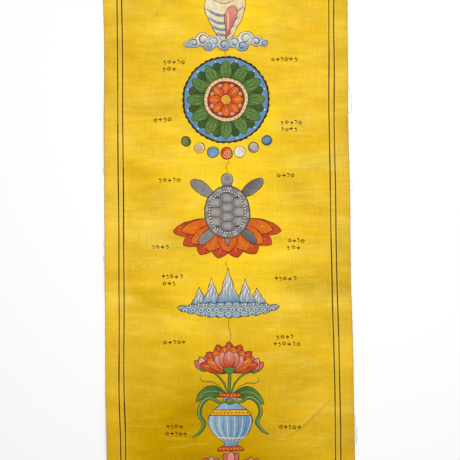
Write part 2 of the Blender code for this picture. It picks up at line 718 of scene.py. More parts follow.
@dataclass
class Mountain(Brushwork):
    """Snow peaks that rise from a pool of rippled water."""

    y: float = -88
    width: float = 124
    foot: float = -6  # of the peaks
    # Each peak's place, height and width
    peaks: Rows = (
        (-35, 25, 30), (35, 23, 30), (-20, 36, 32), (21, 34, 32), (0, 47, 38),
    )

    def paint(self) -> None:
        """Lays the peaks, then the water in front of them."""
        for place, height, width in self.peaks:
            self._peak(place, height, width)
        self._water()

    def _peak(self, x: float, height: float, width: float) -> None:
        """One peak with a snow cap and brushed ridges.

        Args:
            x: Its place.
            height: Its height.
            width: Its width at the foot.
        """
        y = self.foot
        side = [(-0.5, 0), (-0.36, 0.16), (-0.29, 0.34), (-0.19, 0.48), (-0.14, 0.68), (-0.05, 0.84)]
        profile = [*side, (0, 1), *[(-across * 1.06, up * 0.97) for across, up in side[::-1]]]
        peak = smooth(np.array(profile) * (width, height) + (x, y))
        self.shape(peak, Fade(IVORY, SKY, (x, y + height * 0.92), (x, y + height * 0.10)))
        inner = offset(peak, -0.7)
        for lean, drop in ((-0.30, 0.80), (-0.12, 0.62), (0.05, 0.9), (0.17, 0.6), (0.30, 0.75)):
            ridge = [
                (x + lean * width * t * 0.9 + (0.9 if k % 2 else -0.9), y + height * (0.93 - drop * t))
                for k, t in enumerate((0.16, 0.4, 0.64, 0.9))
            ]
            self.line(smooth(ridge), INDIGO, 0.55, 1, within=inner)
            self.line(smooth(np.array(ridge) + (1.5, -0.6)), WHITE, 0.7, 1, within=inner)

    def _water(self) -> None:
        """Rows of rippled rounds inside a lens with a scalloped rim."""
        half, columns = self.width / 2, 13
        along = np.linspace(-1, 1, 12)
        lower = [(half * t, self.foot - 11.5 * (1 - t * t) ** 0.8) for t in along]
        upper = [(half * t, self.foot + 5.0 * (1 - t * t) ** 0.8) for t in along[::-1]]
        lens = scallops(lower[:-1] + upper[:-1], 0.16)
        self.shape(lens, INDIGO)
        pool = offset(lens, -0.4)
        ripples = (
            (5.2, INK), (4.7, PALE_BLUE), (3.5, SKY), (2.4, IVORY), (1.5, INDIGO),
        )
        for row in range(3):
            count = columns - row % 2
            for i in range(count):
                x = (i - (count - 1) / 2) * self.width / columns
                for radius, tone in ripples:
                    self.shape(oval(x, -4.0 - row * 5.2, radius, radius * 0.95), tone, 0, pool)


@dataclass
class VaseOfPlenty(Brushwork):
    """A blue vase with a red lotus, buds, leaves and a tied scarf, drawn from the middle of its foot."""

    y: float = -268
    body_height: float = 70
    knot: float = 60  # height of the scarf's knot
    lotus: float = 104  # height of the lotus
    # The vase's heights and half widths
    profile: tuple[Point, ...] = (
        (0, 15.5), (3.5, 14.5), (7, 8.5), (10, 8.5), (18, 18), (28, 25), (38, 26.5), (47, 22.5),
        (54, 13.5), (59, 8.6), (63, 8.2), (67, 12.5), (70, 15),
    )

    def paint(self) -> None:
        """Lays what grows from the vase, then the vase, then the scarf."""
        for side in (1, -1):
            self._leaf(side)
            self._bud(side)
        self._lotus()
        self._vase()
        self._scarf()

    def _side(self, low: float, high: float) -> Array:
        """The vase's outline between two heights.

        Args:
            low: The lower height.
            high: The upper height.

        Returns:
            The outline.
        """
        curve = smooth([(w, h) for h, w in self.profile])
        part = curve[(curve[:, 1] >= low) & (curve[:, 1] <= high)]
        return np.vstack([part, mirrored(part)[::-1]])

    def _vase(self) -> None:
        """The body with brushed lines, its shoulder band, its neck and its foot."""
        body = self._side(0, self.body_height)
        self.shape(body, Fade(PALE_BLUE, SKY, (-14, 44), (20, 22)))
        for i in range(-5, 6):
            bow = [(i * w / 5.6 + 0.5, h) for h, w in self.profile if 9 < h < 52]
            self.line(smooth(bow), WHITE if i % 2 else INDIGO, FINE, 1, within=body)
        for low, high, base, bead in (
            (42, 50, GOLD, CRIMSON),
            (57.5, 62.5, CREAM, FOREST),
            (64.5, 70, VERMILION, GOLD),
            (0, 6, VERMILION, GOLD),
        ):
            self.shape(self._side(low, high), base)
            middle = (low + high) / 2
            reach = float(np.interp(middle, *zip(*self.profile)))
            count = max(3, round(reach / 2.2))
            self.dots([(reach * 0.88 * t, middle) for t in np.linspace(-1, 1, count)], 0.95, bead)
        hem = [(t, 15.5 + 0.004 * t * t) for t in np.linspace(-17, 17, 9)]
        self.line(smooth(hem), CREAM, 1.3, 0.2, within=body)

    def _beside(self, side: int, *points: Point) -> list[Point]:
        """Points beside the vase's mouth, on its right for side 1, or on its left and a little higher."""
        rise = 0 if side > 0 else 2.5 / 30
        return [(side * x, self.body_height + y + rise * x) for x, y in points]

    def _leaf(self, side: int) -> None:
        """A broad leaf on one side.

        Args:
            side: 1 for the right side and -1 for the left.
        """
        edge = ((3, -3), (15, 7), (27, 6), (37, -3), (41, -14), (34, -10), (28, -6), (20, -7), (12, -6))
        shades = Fade(FOREST, LEAF, *self._beside(side, (3, 0), (40, -8)))
        self.shape(smooth(self._beside(side, *edge), closed=True), shades)
        self.line(smooth(self._beside(side, (6, -2), (18, 1), (29, -1), (38, -9))), SAGE, 0.8, 1)

    def _bud(self, side: int) -> None:
        """A bud on its stem, with a tendril, on one side.

        Args:
            side: 1 for the right side and -1 for the left.
        """
        stem = smooth(self._beside(side, (2, -2), (7, 12), (17, 22), (29, 26)))
        self.line(stem, INK, 2.5, 0.3)
        self.line(stem, LEAF, 1.5, 0.3)
        x, y = self._beside(side, (27, 25))[0]
        lean = 90 - 28 * side
        for turn, tone in ((24, ROSE), (-24, ROSE), (0, PINK)):
            self.shape(petal(x, y, 19, 9.5, lean + turn), tone)
        for turn in (-8, 0, 8):
            self.line(ray((7, 11, 16), lean + turn, x, y), IVORY, FINE, 1)
        for turn in (44, -44):
            self.shape(petal(x, y, 9, 4.5, lean + turn, 0.6, 0.8), LEAF)
        tendril = self._beside(side, (5, 2), (12, 8), (22, 12), (31, 11), (36, 15), (33, 19))
        self.line(smooth(tendril), FOREST, 1, 0.9)

    def _lotus(self) -> None:
        """The open flower in three layers of petals, on its stem."""
        y = self.lotus
        stem = smooth([(0, self.body_height - 3), (0, y - 12), (0, y)])
        self.line(stem, INK, 4, 0)
        self.line(stem, LEAF, 2.8, 0)
        for length, width, count, sweep, root, tip in (
            (36, 14, 7, 150, CRIMSON, VERMILION),
            (31, 14.5, 6, 122, VERMILION, ORANGE),
            (25, 13.5, 5, 84, VERMILION, PINK),
        ):
            for way in fan(count, sweep, 90):
                shades = Fade(root, tip, (0, y), reached(0, y - 8, way, length))
                self.shape(petal(0, y - 8, length, width, way, 0.8, 0.62), shades)
                vein = turned([(length * 0.5, 0), (length * 0.7, 0.5), (length * 0.92, 0)], way, 0, y - 8)
                self.line(vein, IVORY, FINE, 1)
        cup = [(-7, y - 4), (-5, y - 9), (0, y - 11), (5, y - 9), (7, y - 4), (0, y - 2)]
        self.shape(smooth(cup, closed=True), LEAF)

    def _scarf(self) -> None:
        """The scarf tied at the neck, its two ends flowing out and down."""
        knot = self.knot
        route = ((4, 0), (13, -1), (24, 4), (34, -2), (37, -14), (32, -25), (38, -35), (46, -40))
        for side, drop in ((1, 1.0), (-1, 1.08)):
            path = smooth([(side * x, knot + y * drop) for x, y in route])
            self.line(path, INK, 5.4, 0.6)
            self.line(path, LEAF, 4.2, 0.7)
            self.line(path + (0.7 * side, 0.7), SAGE, 1.1, 0.9)
            self.line(path - (0.9 * side, 0.8), FOREST, 0.9, 0.9)
        self.shape(oval(0, knot, 5.2, 3.6), LEAF)
        self.line(smooth([(-2.6, knot + 1), (0, knot + 2), (2.6, knot + 1)]), SAGE, 0.9)


@dataclass
class Conch(Brushwork):
    """A cream conch shell with blue bands."""

    y: float = 268
    scale: float = 1.2

    def _curve(self, *points: Point, closed: bool = False) -> Array:
        """A smooth curve through points of the drawing, at the shell's size."""
        return smooth(np.array(points) * self.scale, closed)

    def _shades(self, first: Pigment, last: Pigment, start: Point, end: Point) -> Fade:
        """A fade between two points of the drawing, at the shell's size."""
        return Fade(first, last, *((x * self.scale, y * self.scale) for x, y in (start, end)))

    def paint(self) -> None:
        """Lays the body, the bands, the mouth and the whorls."""
        right = ((-2, -33), (6, -26), (13, -14), (19, 0), (20, 12), (13, 21))
        left = ((2, 24), (-11, 22), (-20, 13), (-21, 1), (-15, -13), (-8, -25))
        body = self._curve(*right, *left, closed=True)
        self.shape(body, self._shades(IVORY, CREAM, (-12, 14), (12, -12)))
        for bow in (
            ((-21, 4), (-8, -3), (6, -2), (19, 5)),
            ((-19, -5), (-8, -11), (3, -11), (14, -5)),
            ((-16, -13), (-7, -18), (2, -18), (10, -13)),
            ((-11, -21), (-5, -24), (1, -24), (6, -21)),
        ):
            path = self._curve(*bow)
            self.line(path, SKY, 2.6, 0.75, within=body)
            self.line(path + (0, 1.9), BROWN, FINE, 1, within=body)
        lips = ((2, 4), (9, 7), (12, 1), (9, -10), (3, -22), (0, -28), (0, -16), (-1, -4))
        mouth = self._curve(*lips, closed=True)
        self.shape(mouth, self._shades(PINK, ROSE, (9, 6), (1, -22)))
        self.line(self._curve((1, 2), (3, -8), (2, -20)), IVORY, 1.2, 1, within=mouth)
        self._whorls()

    def _whorls(self) -> None:
        """The shell's top, whorl on whorl, each with a curl of blue."""
        flat = 0.62  # how flat the whorls look
        for k, (x, y, radius) in enumerate(((-1, 17, 12.5), (0, 22, 9), (1, 26, 5.8), (2, 29.5, 3))):
            middle = np.array((x, y)) * self.scale
            whorl = oval(*middle, radius * self.scale, radius * flat * self.scale, 6)
            self.shape(whorl, IVORY if k % 2 else CREAM)
            curl = spiral(0, 0, radius * 0.7, radius * 0.35, 0.8, 200) * (1, flat) + middle
            self.line(curl, SKY, 1.5 if k < 2 else 0.9, 0.9, within=whorl)


@dataclass
class Sun(Brushwork):
    """A plain golden disc with straight and waving rays."""

    y: float = 352
    radius: float = 17
    rays: int = 16

    def paint(self) -> None:
        """Lays the rays, then the disc with its rings."""
        r = self.radius
        wave = smooth([(0, 0), (r * 0.35, 1.4), (r * 0.7, -1.4), (r * 1.05, 0.6)])
        for i, (x, y, way) in enumerate(ring_of(self.rays, r * 0.8)):
            if i % 2:
                path = turned(wave, way, x, y)
                self.line(path, INK, 4.6, 0.95)
                self.line(path, ORANGE, 3.4, 1)
            else:
                self.shape(turned([(0, -3.2), (r, 0), (0, 3.2)], way, x, y), VERMILION)
        self.shape(oval(0, 0, r), Glow(GOLD, ORANGE, r))
        self.line(oval(0, 0, r * 0.78), CRIMSON, 0.8, closed=True)
        for x, y, way in ring_of(12, r * 0.22):
            self.shape(petal(x, y, r * 0.5, r * 0.2, way), VERMILION, 0.5)
        self.shape(oval(0, 0, r * 0.24), IVORY)


@dataclass
class MoonCloud(Brushwork):
    """A crescent and stars on a blue cloud."""

    y: float = 432
    half_width: float = 52
    half_height: float = 26
    stars: tuple[Point, ...] = (
        (-33, 6), (-25, -8), (20, 9), (30, -4), (12, -12), (38, 7), (-38, -4), (24, -14),
    )

    def paint(self) -> None:
        """Lays the cloud, the crescent and the stars."""
        h = self.half_height
        cloud = scallops(round_of(18, self.half_width, h), 0.22)
        self.shape(cloud, Fade(IVORY, SKY, (0, h * 1.1), (0, -h * 0.5)))
        self.shape(offset(cloud, -3.2), INDIGO, 0.6)
        self.shape(oval(-4, 0, 13.5), WHITE)
        self.shape(oval(1.5, 2.5, 11.5), INDIGO, 0)
        star = round_of(10, 1) * np.where(np.arange(10) % 2, 1.1, 2.7)[:, None]
        for place in self.stars:
            self.shape(star + place, CREAM, 0)


@dataclass
class LotusPool(Brushwork):
    """A green leaf pad with three pink buds standing on it."""

    y: float = -302
    buds: tuple[Point, ...] = ((-24, 21), (24, 20), (0, 27))  # their places and heights

    def paint(self) -> None:
        """Lays the buds, then the pad in front of them."""
        for x, height in self.buds:
            self.line(smooth([(x, 0), (x * 1.05, 8), (x, height - 8)]), FOREST, 1.8, 0)
            for turn, tone in ((30, ROSE), (-30, ROSE), (0, PINK)):
                self.shape(petal(x, height - 10, 17, 9, 90 + turn), tone)
        pad = scallops(round_of(16, 46, 14) + (0, -2), 0.2)
        self.shape(pad, Fade(LEAF, FOREST, (0, 10), (0, -14)))
        for x, y in round_of(14, 1):
            vein = [(6 * x, 2 * y - 2), (24 * x, 8 * y - 2), (38 * x, 11 * y - 2)]
            self.line(vein, SAGE, 0.7, 1, within=pad)


@dataclass
class FishPair(Brushwork):
    """Two slate-blue fish that circle each other."""

    y: float = -384
    length: float = 50

    def paint(self) -> None:
        """Lays both fish, the second a half turn from the first."""
        for turn in (14, 194):
            self._fish(turn)

    @staticmethod
    def _at(turn: float, points: Path) -> Array:
        """Where points of a fish's drawing lie once it is lifted off the middle and turned."""
        return turned(np.array(points, float) + (0, 13), turn)

    def _fish(self, turn: float) -> None:
        """One fish: tail and fins, body, rows of scales and head.

        Args:
            turn: How far it is turned, in degrees.
        """
        half = self.length / 2
        tail = [(-half + 4, 0), (-half - 10, 9), (-half - 5, 0), (-half - 10, -9)]
        for fin in (tail, [(2, 5), (-4, 13), (-9, 6)], [(2, -5), (-3, -12), (-8, -6)]):
            self.shape(self._at(turn, fin)[::-1], VERMILION)
        back = [(half, 0), (half * 0.6, 7), (0, 9.5), (-half * 0.6, 5.5)]
        belly = [(-half, 0), (-half * 0.6, -5), (0, -8.5), (half * 0.6, -6.5)]
        body = self._at(turn, smooth(back + belly, closed=True))
        self.shape(body, SLATE)
        for column in range(9):
            for row in range(-3, 4):
                x, y = -half * 0.8 + column * 4.2 + (2.1 if row % 2 else 0), row * 2.6
                if x < half * 0.45:
                    scale = self._at(turn, smooth([(x - 1.2, y + 1.9), (x + 1.3, y), (x - 1.2, y - 1.9)]))
                    tone = PALE_SLATE if row > 0 else DARK_SLATE
                    self.line(scale, tone, 0.7, 0.6, within=body)
        gill = smooth([(half * 0.5, 7), (half * 0.38, 0), (half * 0.5, -7)])
        self.line(self._at(turn, gill), INK, 0.8, within=body)
        self.shape(self._at(turn, oval(half * 0.68, 1.6, 1.9)), WHITE, 0.5)
        self.shape(self._at(turn, oval(half * 0.68, 1.6, 0.8)), INK, 0)


@dataclass
class WaveBand(Brushwork):
    """A band of rolling waves in cream, red and blue."""

    y: float = -448
    half_width: float = 64
    waves: int = 5

    def paint(self) -> None:
        """Lays the crests, then the water that joins them."""
        pitch = self.half_width * 2 / self.waves
        for i in range(self.waves):
            x = pitch * (i + 0.5) - self.half_width
            crest = scallops([(x - pitch * 0.62, -6), (x + pitch * 0.62, -6), (x, 12)], 0.24)
            self.shape(crest, Fade(CREAM, SKY, (x, 14), (x, -12)))
            tone = VERMILION if i % 2 else INDIGO
            self.line(spiral(x, 1.5, 7.4, 1.6, -1.5, 210), tone, 2, 0.9)
        t = np.linspace(-1, 1, 60)
        for drop, tone in ((7, INDIGO), (11, VERMILION), (15, INDIGO)):
            x = t * self.half_width * (1.08 - drop * 0.012)
            self.line(np.stack([x, 1.4 * np.sin(t * 16) - drop], axis=1), tone, 2, 0.9)


@dataclass
class CloudBank(Brushwork):
    """Rolled clouds, cream above and blue below, with a curl in each roll."""

    y: float = 232
    # Each roll's place and radius
    rolls: Rows = (
        (-47, -3.5, 4.5), (-39, -1.5, 7), (-28, 2.5, 9.5), (-14, 0, 8.5), (-2, -4, 8), (11, -1, 8.5),
        (25, 3, 10), (38, 0, 7.5), (47, -3, 5), (-21, -5.5, 7), (20, -6, 7.5),
    )

    def paint(self) -> None:
        """Lays the rolls' edges, then the rolls, which hide the edges between them, then the curls."""
        shades = Fade(IVORY, SKY, (0, 9), (0, -13))
        for grown, paint in ((0.4, INK), (-0.4, shades)):
            for x, y, radius in self.rolls:
                self.shape(oval(x, y, radius + grown, (radius + grown) * 0.88), paint, 0)
        for k, (x, y, radius) in enumerate(self.rolls):
            turns, first, second = (-1.15, 200, 120) if k % 2 else (1.15, -20, 60)
            curl = spiral(x, y, radius * 0.74, radius * 0.24, turns, first)
            self.line(curl, INDIGO if k % 3 else SKY, 1.5, 0.9)
            arc = spiral(x, y, radius * 0.84, radius * 0.8, turns * 0.4, second)
            self.line(arc, WHITE, 0.8, 1)


@dataclass
class WashMarks(Brushwork):
    """Pale marks where the wash brush dragged, mostly across the cloth, or a thick yarn stands out."""

    seed: int = 11
    upright: float = 0.12  # the share of the marks that run along the cloth
    # Each patch: its middle, its half width and half height, how many marks it has, and how they lean
    patches: Rows = (
        (-84, 246, 34, 20, 16, 2), (-60, 196, 42, 22, 22, -4), (-92, 150, 30, 22, 16, -7),
        (-66, 96, 44, 16, 20, -9), (-76, 28, 40, 24, 22, 3), (-88, -40, 34, 20, 16, 0),
        (-84, -104, 38, 22, 10, -2), (-88, -176, 34, 26, 5, 3), (-70, -250, 44, 22, 6, 1),
        (84, 252, 34, 18, 16, 1), (78, 212, 40, 20, 22, -2), (86, 168, 34, 14, 22, 1),
        (92, 120, 30, 16, 18, -4), (74, 84, 46, 14, 18, 2), (84, 34, 38, 18, 24, 1),
        (78, -6, 40, 16, 22, -2), (84, -62, 34, 18, 18, 6), (86, -110, 38, 18, 16, -3),
        (80, -166, 40, 22, 16, 2), (78, -246, 40, 22, 14, -4), (0, 112, 60, 14, 12, 0),
        (0, -62, 70, 18, 14, 0), (-20, 336, 110, 50, 44, -2), (20, 440, 110, 46, 40, 2),
        (-10, -350, 110, 50, 40, 2), (10, -450, 110, 42, 36, -2),
    )

    def paint(self) -> None:
        """Lays every patch."""
        chance = np.random.default_rng(self.seed)
        for x, y, half_width, half_height, count, lean in self.patches:
            for _ in range(count):
                along, up = chance.normal(0, 0.5, 2).clip(-1, 1)
                length = 9 + 34 * chance.random() ** 2
                middle = (x + along * half_width, y + up * half_height)
                if chance.random() < self.upright:
                    self._mark(middle, length * 0.3, 90 + 3 * chance.normal(), 0, chance.random())
                else:
                    way = lean + 3.0 * chance.normal()
                    self._mark(middle, length, way, length * 0.03 * chance.normal(), chance.random())

    def _mark(self, middle: Point, length: float, way: float, bow: float, weight: float) -> None:
        """One mark.

        Args:
            middle: Its middle.
            length: Its length.
            way: The way it runs, in degrees.
            bow: How far it bends.
            weight: From 0, faint, to 1, thin and clear.
        """
        path = [(-length / 2, 0), (-length / 6, bow), (length / 5, bow * 0.8), (length / 2, -bow * 0.3)]
        path = turned(smooth(path, step=3), way, *middle)
        self.ruled(path, STRAW, 0.9 + 1.2 * (1 - weight), 0.09 + 0.17 * weight, 1)


@dataclass
class CreaseShading(Brushwork):
    """Lines along the creases: dark ones are painted shade in their troughs, pale ones painted highlight on
    their crests.
    """

    # Each mark: its colour, its width, how well it covers, and the places that it passes
    marks: tuple[tuple[Pigment, float, float, tuple[Point, ...]], ...] = (
        (CREASE_SHADE, 3.6, 0.20, ((64, -254), (78, -246.5), (92, -236), (104, -225), (114, -215), (122, -208))),
        (CREASE_SHADE, 1.8, 0.26, ((72, -250), (84, -242.5), (96, -232.5), (107, -222))),
        (STRAW, 3.6, 0.15, ((68, -246.5), (82, -238.5), (96, -227), (110, -212), (124, -196))),
        (STRAW, 0.8, 0.26, ((-132, -236), (-118, -236.4), (-100, -238), (-86, -237.6), (-76, -238.6))),
        (CREASE_SHADE, 0.9, 0.12, ((-130, -237.2), (-110, -238), (-92, -239.4), (-78, -239.8))),
        (STRAW, 0.8, 0.40, ((-139, -266.4), (-132, -267), (-124, -267.4))),
        (CREASE_SHADE, 1.2, 0.14, ((66, -62), (84, -60), (100, -54), (116, -50), (132, -49), (148, -50))),
        (STRAW, 0.8, 0.30, ((68, 189.4), (73, 190), (78, 189))),
        (STRAW, 0.8, 0.30, ((89, 184), (97, 183.2), (106, 183.8))),
        (STRAW, 0.9, 0.34, ((129, 190), (137, 189.4), (145, 190.2))),
        (STRAW, 0.8, 0.40, ((89, 134.4), (96, 135.6), (103, 134.6), (110, 135))),
        (STRAW, 0.8, 0.26, ((93, 132), (99, 132.6), (105, 131.8))),
        (STRAW, 1, 0.26, ((128, 199), (128.4, 190), (127.8, 182))),
        (STRAW, 0.8, 0.22, ((126, 74), (125.4, 62), (126, 50))),
        (CREASE_SHADE, 0.9, 0.12, ((-128, 66), (-104, 69), (-84, 68), (-66, 70.5))),
        (CREASE_SHADE, 0.9, 0.12, ((-130, -46), (-112, -47.6), (-90, -47), (-66, -48.4))),
    )

    def paint(self) -> None:
        """Lays every line of painted shade and painted highlight."""
        for pigment, width, strength, places in self.marks:
            self.ruled(smooth(places, step=2.5), pigment, width, strength, 1)


@dataclass
class RuledLines(Brushwork):
    """Two long lines down each side, drawn brushful by brushful."""

    half_width: float = 150
    half_length: float = 497
    width: float = 1.55
    guide: float = 4.6  # the paler strip that each line is drawn on
    # Each line's side, how far it is from that side, and what sets its unevenness apart from the others'
    lines: Rows = ((-1, 17, 1.5), (-1, 23, 1.3), (1, 17.2, 1), (1, 23.4, 0.8))

    def paint(self) -> None:
        """Lays each line from the upper end to the lower."""
        for side, inset, phase in self.lines:
            start, number = self.half_length, 0
            while start > -self.half_length:
                number += 1
                end = max(start - 64 - 30 * math.sin(number * 2.4 + phase * 15), -self.half_length)
                y = np.linspace(start, end, max(4, round((start - end) / 3)))
                waver = 0.42 * np.sin(y / 71 + phase) + 0.14 * np.sin(y / 23 + phase * 9)
                path = np.stack([side * (self.half_width - inset - waver), y], axis=1)
                strength = 0.93 + 0.07 * math.sin(number * 1.7 + phase * 5)
                width = self.width * (1 + 0.10 * math.sin(number * 3.1 + phase * 7))
                self.ruled(path, STRAW, self.guide, 0.17)
                self.ruled(path, SEPIA, width, strength)
                start = end + 1.0 if end > -self.half_length else end


@dataclass
class Sprigs(Brushwork):
    """Short rows of tiny dark florets, leaves and buds that stand beside the emblems."""

    pitch: float = 5.6
    # Each row's middle and how many sprigs it has
    rows: Rows = (
        (-64, 207, 5), (-70, 198.5, 3), (72, 209, 6), (-78, 136, 4), (80, 131, 5), (77, 122.5, 4),
        (-70, 62, 5), (72, 66, 4), (-82, -20, 4), (84, -14, 4), (80, -22.5, 3), (-68, -56, 5),
        (-72, -64.5, 3), (70, -60, 5), (-66, -136, 5), (68, -131, 4), (70, -139.5, 6), (-68, -238, 4),
        (-66, -246.5, 5), (72, -240, 5), (-66, 352, 4), (66, 350, 5), (-78, 432, 3), (78, 430, 4),
        (-74, -312, 4), (74, -310, 4), (-72, -388, 4), (72, -386, 5),
    )

    def paint(self) -> None:
        """Lays each row: florets, leaves and buds in turn."""
        kinds = (self._floret, self._leaf, self._bud)
        for x, y, count in self.rows:
            for i in range(count):
                along = (i - (count - 1) / 2) * self.pitch + 0.5 * math.sin(5.0 * i + x)
                kinds[(i + round(x)) % 3](x + along, y + 0.5 * math.sin(3.1 * i + x))

    def _floret(self, x: float, y: float) -> None:
        """Five petals round a middle."""
        for px, py, way in ring_of(5, 0.6):
            self.shape(petal(x + px, y + py, 2.1, 1.5, way, 0.6, 0.5), SEPIA, 0)

    def _leaf(self, x: float, y: float) -> None:
        """A stem with two leaves.

        Args:
            x, y: Its middle.
        """
        self.line([(x, y - 2.7), (x + 0.3, y), (x, y + 2.7)], SEPIA, 0.9, 0.4)
        for way in (32, 148):
            self.shape(petal(x, y - 0.6, 2.7, 1.6, way, 0.8, 0.8), SEPIA, 0)

    def _bud(self, x: float, y: float) -> None:
        """A curled stem with a round bud.

        Args:
            x, y: Its middle.
        """
        stem = [(x - 1.6, y - 2.4), (x + 0.8, y - 1.4), (x + 1, y + 0.6), (x, y + 1.6)]
        self.line(smooth(stem), SEPIA, 0.8, 0.5)
        self.shape(oval(x - 0.4, y + 1.5, 1.1), SEPIA, 0)


@dataclass
class ThreadLines(Brushwork):
    """Fine waving lines that join one emblem to the next."""

    sway: float = 1.6
    # Each line's upper and lower end
    gaps: tuple[Point, ...] = (
        (228, 214), (86, 71), (-37, -46), (-107, -136), (330, 312), (404, 388), (-334, -352),
        (-412, -428),
    )

    def paint(self) -> None:
        """Lays one line in each gap."""
        t = np.linspace(0, 1, 14)
        for k, (top, bottom) in enumerate(self.gaps):
            x = self.sway * np.sin(2 * math.pi * t + k) + 1.5 * math.sin(2.4 * k)
            self.line(np.stack([x, top + (bottom - top) * t], axis=1), BROWN, 0.7, 0.4)


PARTS = (
    WashMarks,
    CreaseShading,
    RuledLines,
    ThreadLines,
    Conch,
    CloudBank,
    LotusWheel,
    Planets,
    Tortoise,
    Mountain,
    VaseOfPlenty,
    Sun,
    MoonCloud,
    LotusPool,
    FishPair,
    WaveBand,
    Sprigs,
)


def brushwork() -> list[Stroke]:
    """Paints the parts of the painting, one after another.

    Returns:
        Its strokes, in the order in which they are laid.
    """
    strokes = []
    for kind in PARTS:
        part = kind()
        part.paint()
        strokes += part.strokes
    return strokes


# The unevenness of the ground


@dataclass(frozen=True)
class Wash:
    """A soft patch of the ground: its middle and its reach in millimetres, and how it differs."""

    x: float
    y: float
    half_width: float
    half_height: float
    tone: float = 0.0  # lighter above 0 and darker below
    amber: float = 0.0  # deeper and browner above 0
    chalk: float = 0.0  # paler and less yellow above 0
    brush: float = 0.0  # how much pale dry brushwork shows

    def at(self, points: Array) -> Array:
        """How the patch changes the ground.

        Args:
            points: Places in millimetres.

        Returns:
            The change of tone, amber, chalk and brushwork at each of them.
        """
        away = np.linalg.norm((points - (self.x, self.y)) / (self.half_width, self.half_height), axis=1)
        share = eased(1.35 - away)
        return share[:, None] * (self.tone, self.amber, self.chalk, self.brush)


def eased(share: float | Array) -> Array:
    """A share from 0 to 1 that leaves 0 and comes to 1 gently."""
    share = np.clip(share, 0, 1)
    return share * share * (3 - 2 * share)


WASHES = (
    Wash(100, 172, 46, 36, tone=0.03, chalk=0.14), Wash(72, 70, 48, 40, tone=-0.105),
    Wash(80, 10, 58, 26, tone=-0.035), Wash(-80, 14, 34, 15, tone=0.035, chalk=0.12),
    Wash(-88, -14, 50, 13, tone=-0.075, amber=0.08), Wash(84, -37, 58, 17, tone=0.095, chalk=0.10),
    Wash(-94, -38, 46, 14, tone=0.04, chalk=0.08), Wash(108, -71, 58, 14, tone=-0.125, amber=0.22),
    Wash(-104, -98, 48, 20, tone=-0.06), Wash(-104, 212, 44, 20, tone=-0.045),
    # Wash(144, -22) is painted shade on the right margin, and Wash(144, -150) a painted highlight lower down
    # it
    Wash(-96, 155, 46, 14, tone=-0.095, amber=0.06), Wash(144, -22, 16, 80, tone=-0.05),
    Wash(144, -150, 16, 52, tone=0.115, chalk=0.12), Wash(-144, 60, 14, 100, tone=0.025, chalk=0.22),
    Wash(144, 78, 14, 60, chalk=0.20), Wash(-144, -124, 14, 40, tone=0.05),
    Wash(-144, -224, 14, 54, tone=0.06, chalk=0.04), Wash(-66, -254, 98, 66, tone=0.01, amber=0.40),
    Wash(92, -236, 66, 64, tone=-0.04, amber=-0.30), Wash(-144, 160, 13, 48, tone=-0.055, amber=0.10),
    Wash(-119, 269, 20, 20, tone=-0.055, amber=0.12), Wash(-86, 212, 18, 16, tone=-0.06, amber=0.12),
    Wash(-80, 42, 22, 13, chalk=0.30), Wash(76, 239, 24, 18, tone=-0.05, amber=0.06),
    Wash(112, 178, 20, 26, tone=0.05, chalk=0.08), Wash(116, 6, 14, 18, tone=-0.05),
    Wash(144, -72, 14, 14, tone=-0.04, amber=0.10), Wash(138, -258, 20, 30, tone=-0.065),
    Wash(-78, -206, 20, 18, tone=0.09), Wash(-76, -160, 16, 24, tone=0.06, chalk=0.06),
    Wash(70, -208, 18, 22, amber=0.12), Wash(-101, -43, 26, 11, brush=0.9),
    Wash(-84, -36, 14, 8, brush=0.6), Wash(92, -36, 22, 8, brush=0.8), Wash(40, -112, 22, 9, brush=1.0),
    Wash(66, -118, 24, 8, brush=0.5), Wash(50, 203, 30, 9, brush=0.5), Wash(98, 184, 34, 9, brush=0.7),
    Wash(132, 190, 12, 9, brush=0.7), Wash(98, 136, 18, 5, brush=0.8), Wash(-84, 178, 34, 10, brush=0.5),
    Wash(-100, 96, 32, 12, brush=0.6), Wash(96, 58, 36, 10, brush=0.6), Wash(-70, -250, 30, 8, brush=0.4),
    Wash(20, 350, 90, 44, tone=0.03, chalk=0.08, brush=0.3),
    Wash(-90, 446, 70, 50, tone=-0.06, amber=0.12),
    Wash(96, 420, 60, 56, tone=-0.03, chalk=0.10, brush=0.4),
    Wash(60, -372, 110, 40, tone=0.04, amber=-0.10, brush=0.3),
    Wash(-60, -450, 110, 50, tone=-0.05, amber=0.20),
)


# The cloth's lie


@dataclass(frozen=True)
class Fold:
    """A soft ridge in the cloth."""

    x: float
    y: float
    angle: float  # the way that it runs, in degrees
    along: float  # half its length
    across: float  # half its width
    lift: float

    def heights(self, places: Array) -> Array:
        """What the fold adds to the height.

        Args:
            places: Places on the flat strip.

        Returns:
            The rise at each of them.
        """
        turn = math.radians(self.angle)
        dx, dy = (places - (self.x, self.y)).T
        forward = (dx * math.cos(turn) + dy * math.sin(turn)) / self.along
        sideways = (dy * math.cos(turn) - dx * math.sin(turn)) / self.across
        return self.lift * self._swell(forward) * self._swell(sideways)

    @staticmethod
    def _swell(share: Array) -> Array:
        """Height of a ridge at a share of the way from its crest to its foot."""
        return np.clip(1 - share * share, 0, 1) ** 2


@dataclass(frozen=True)
class Sway:
    """How far each side strays to the right of a straight cut, at one place along the cloth."""

    y: float
    left: float
    right: float


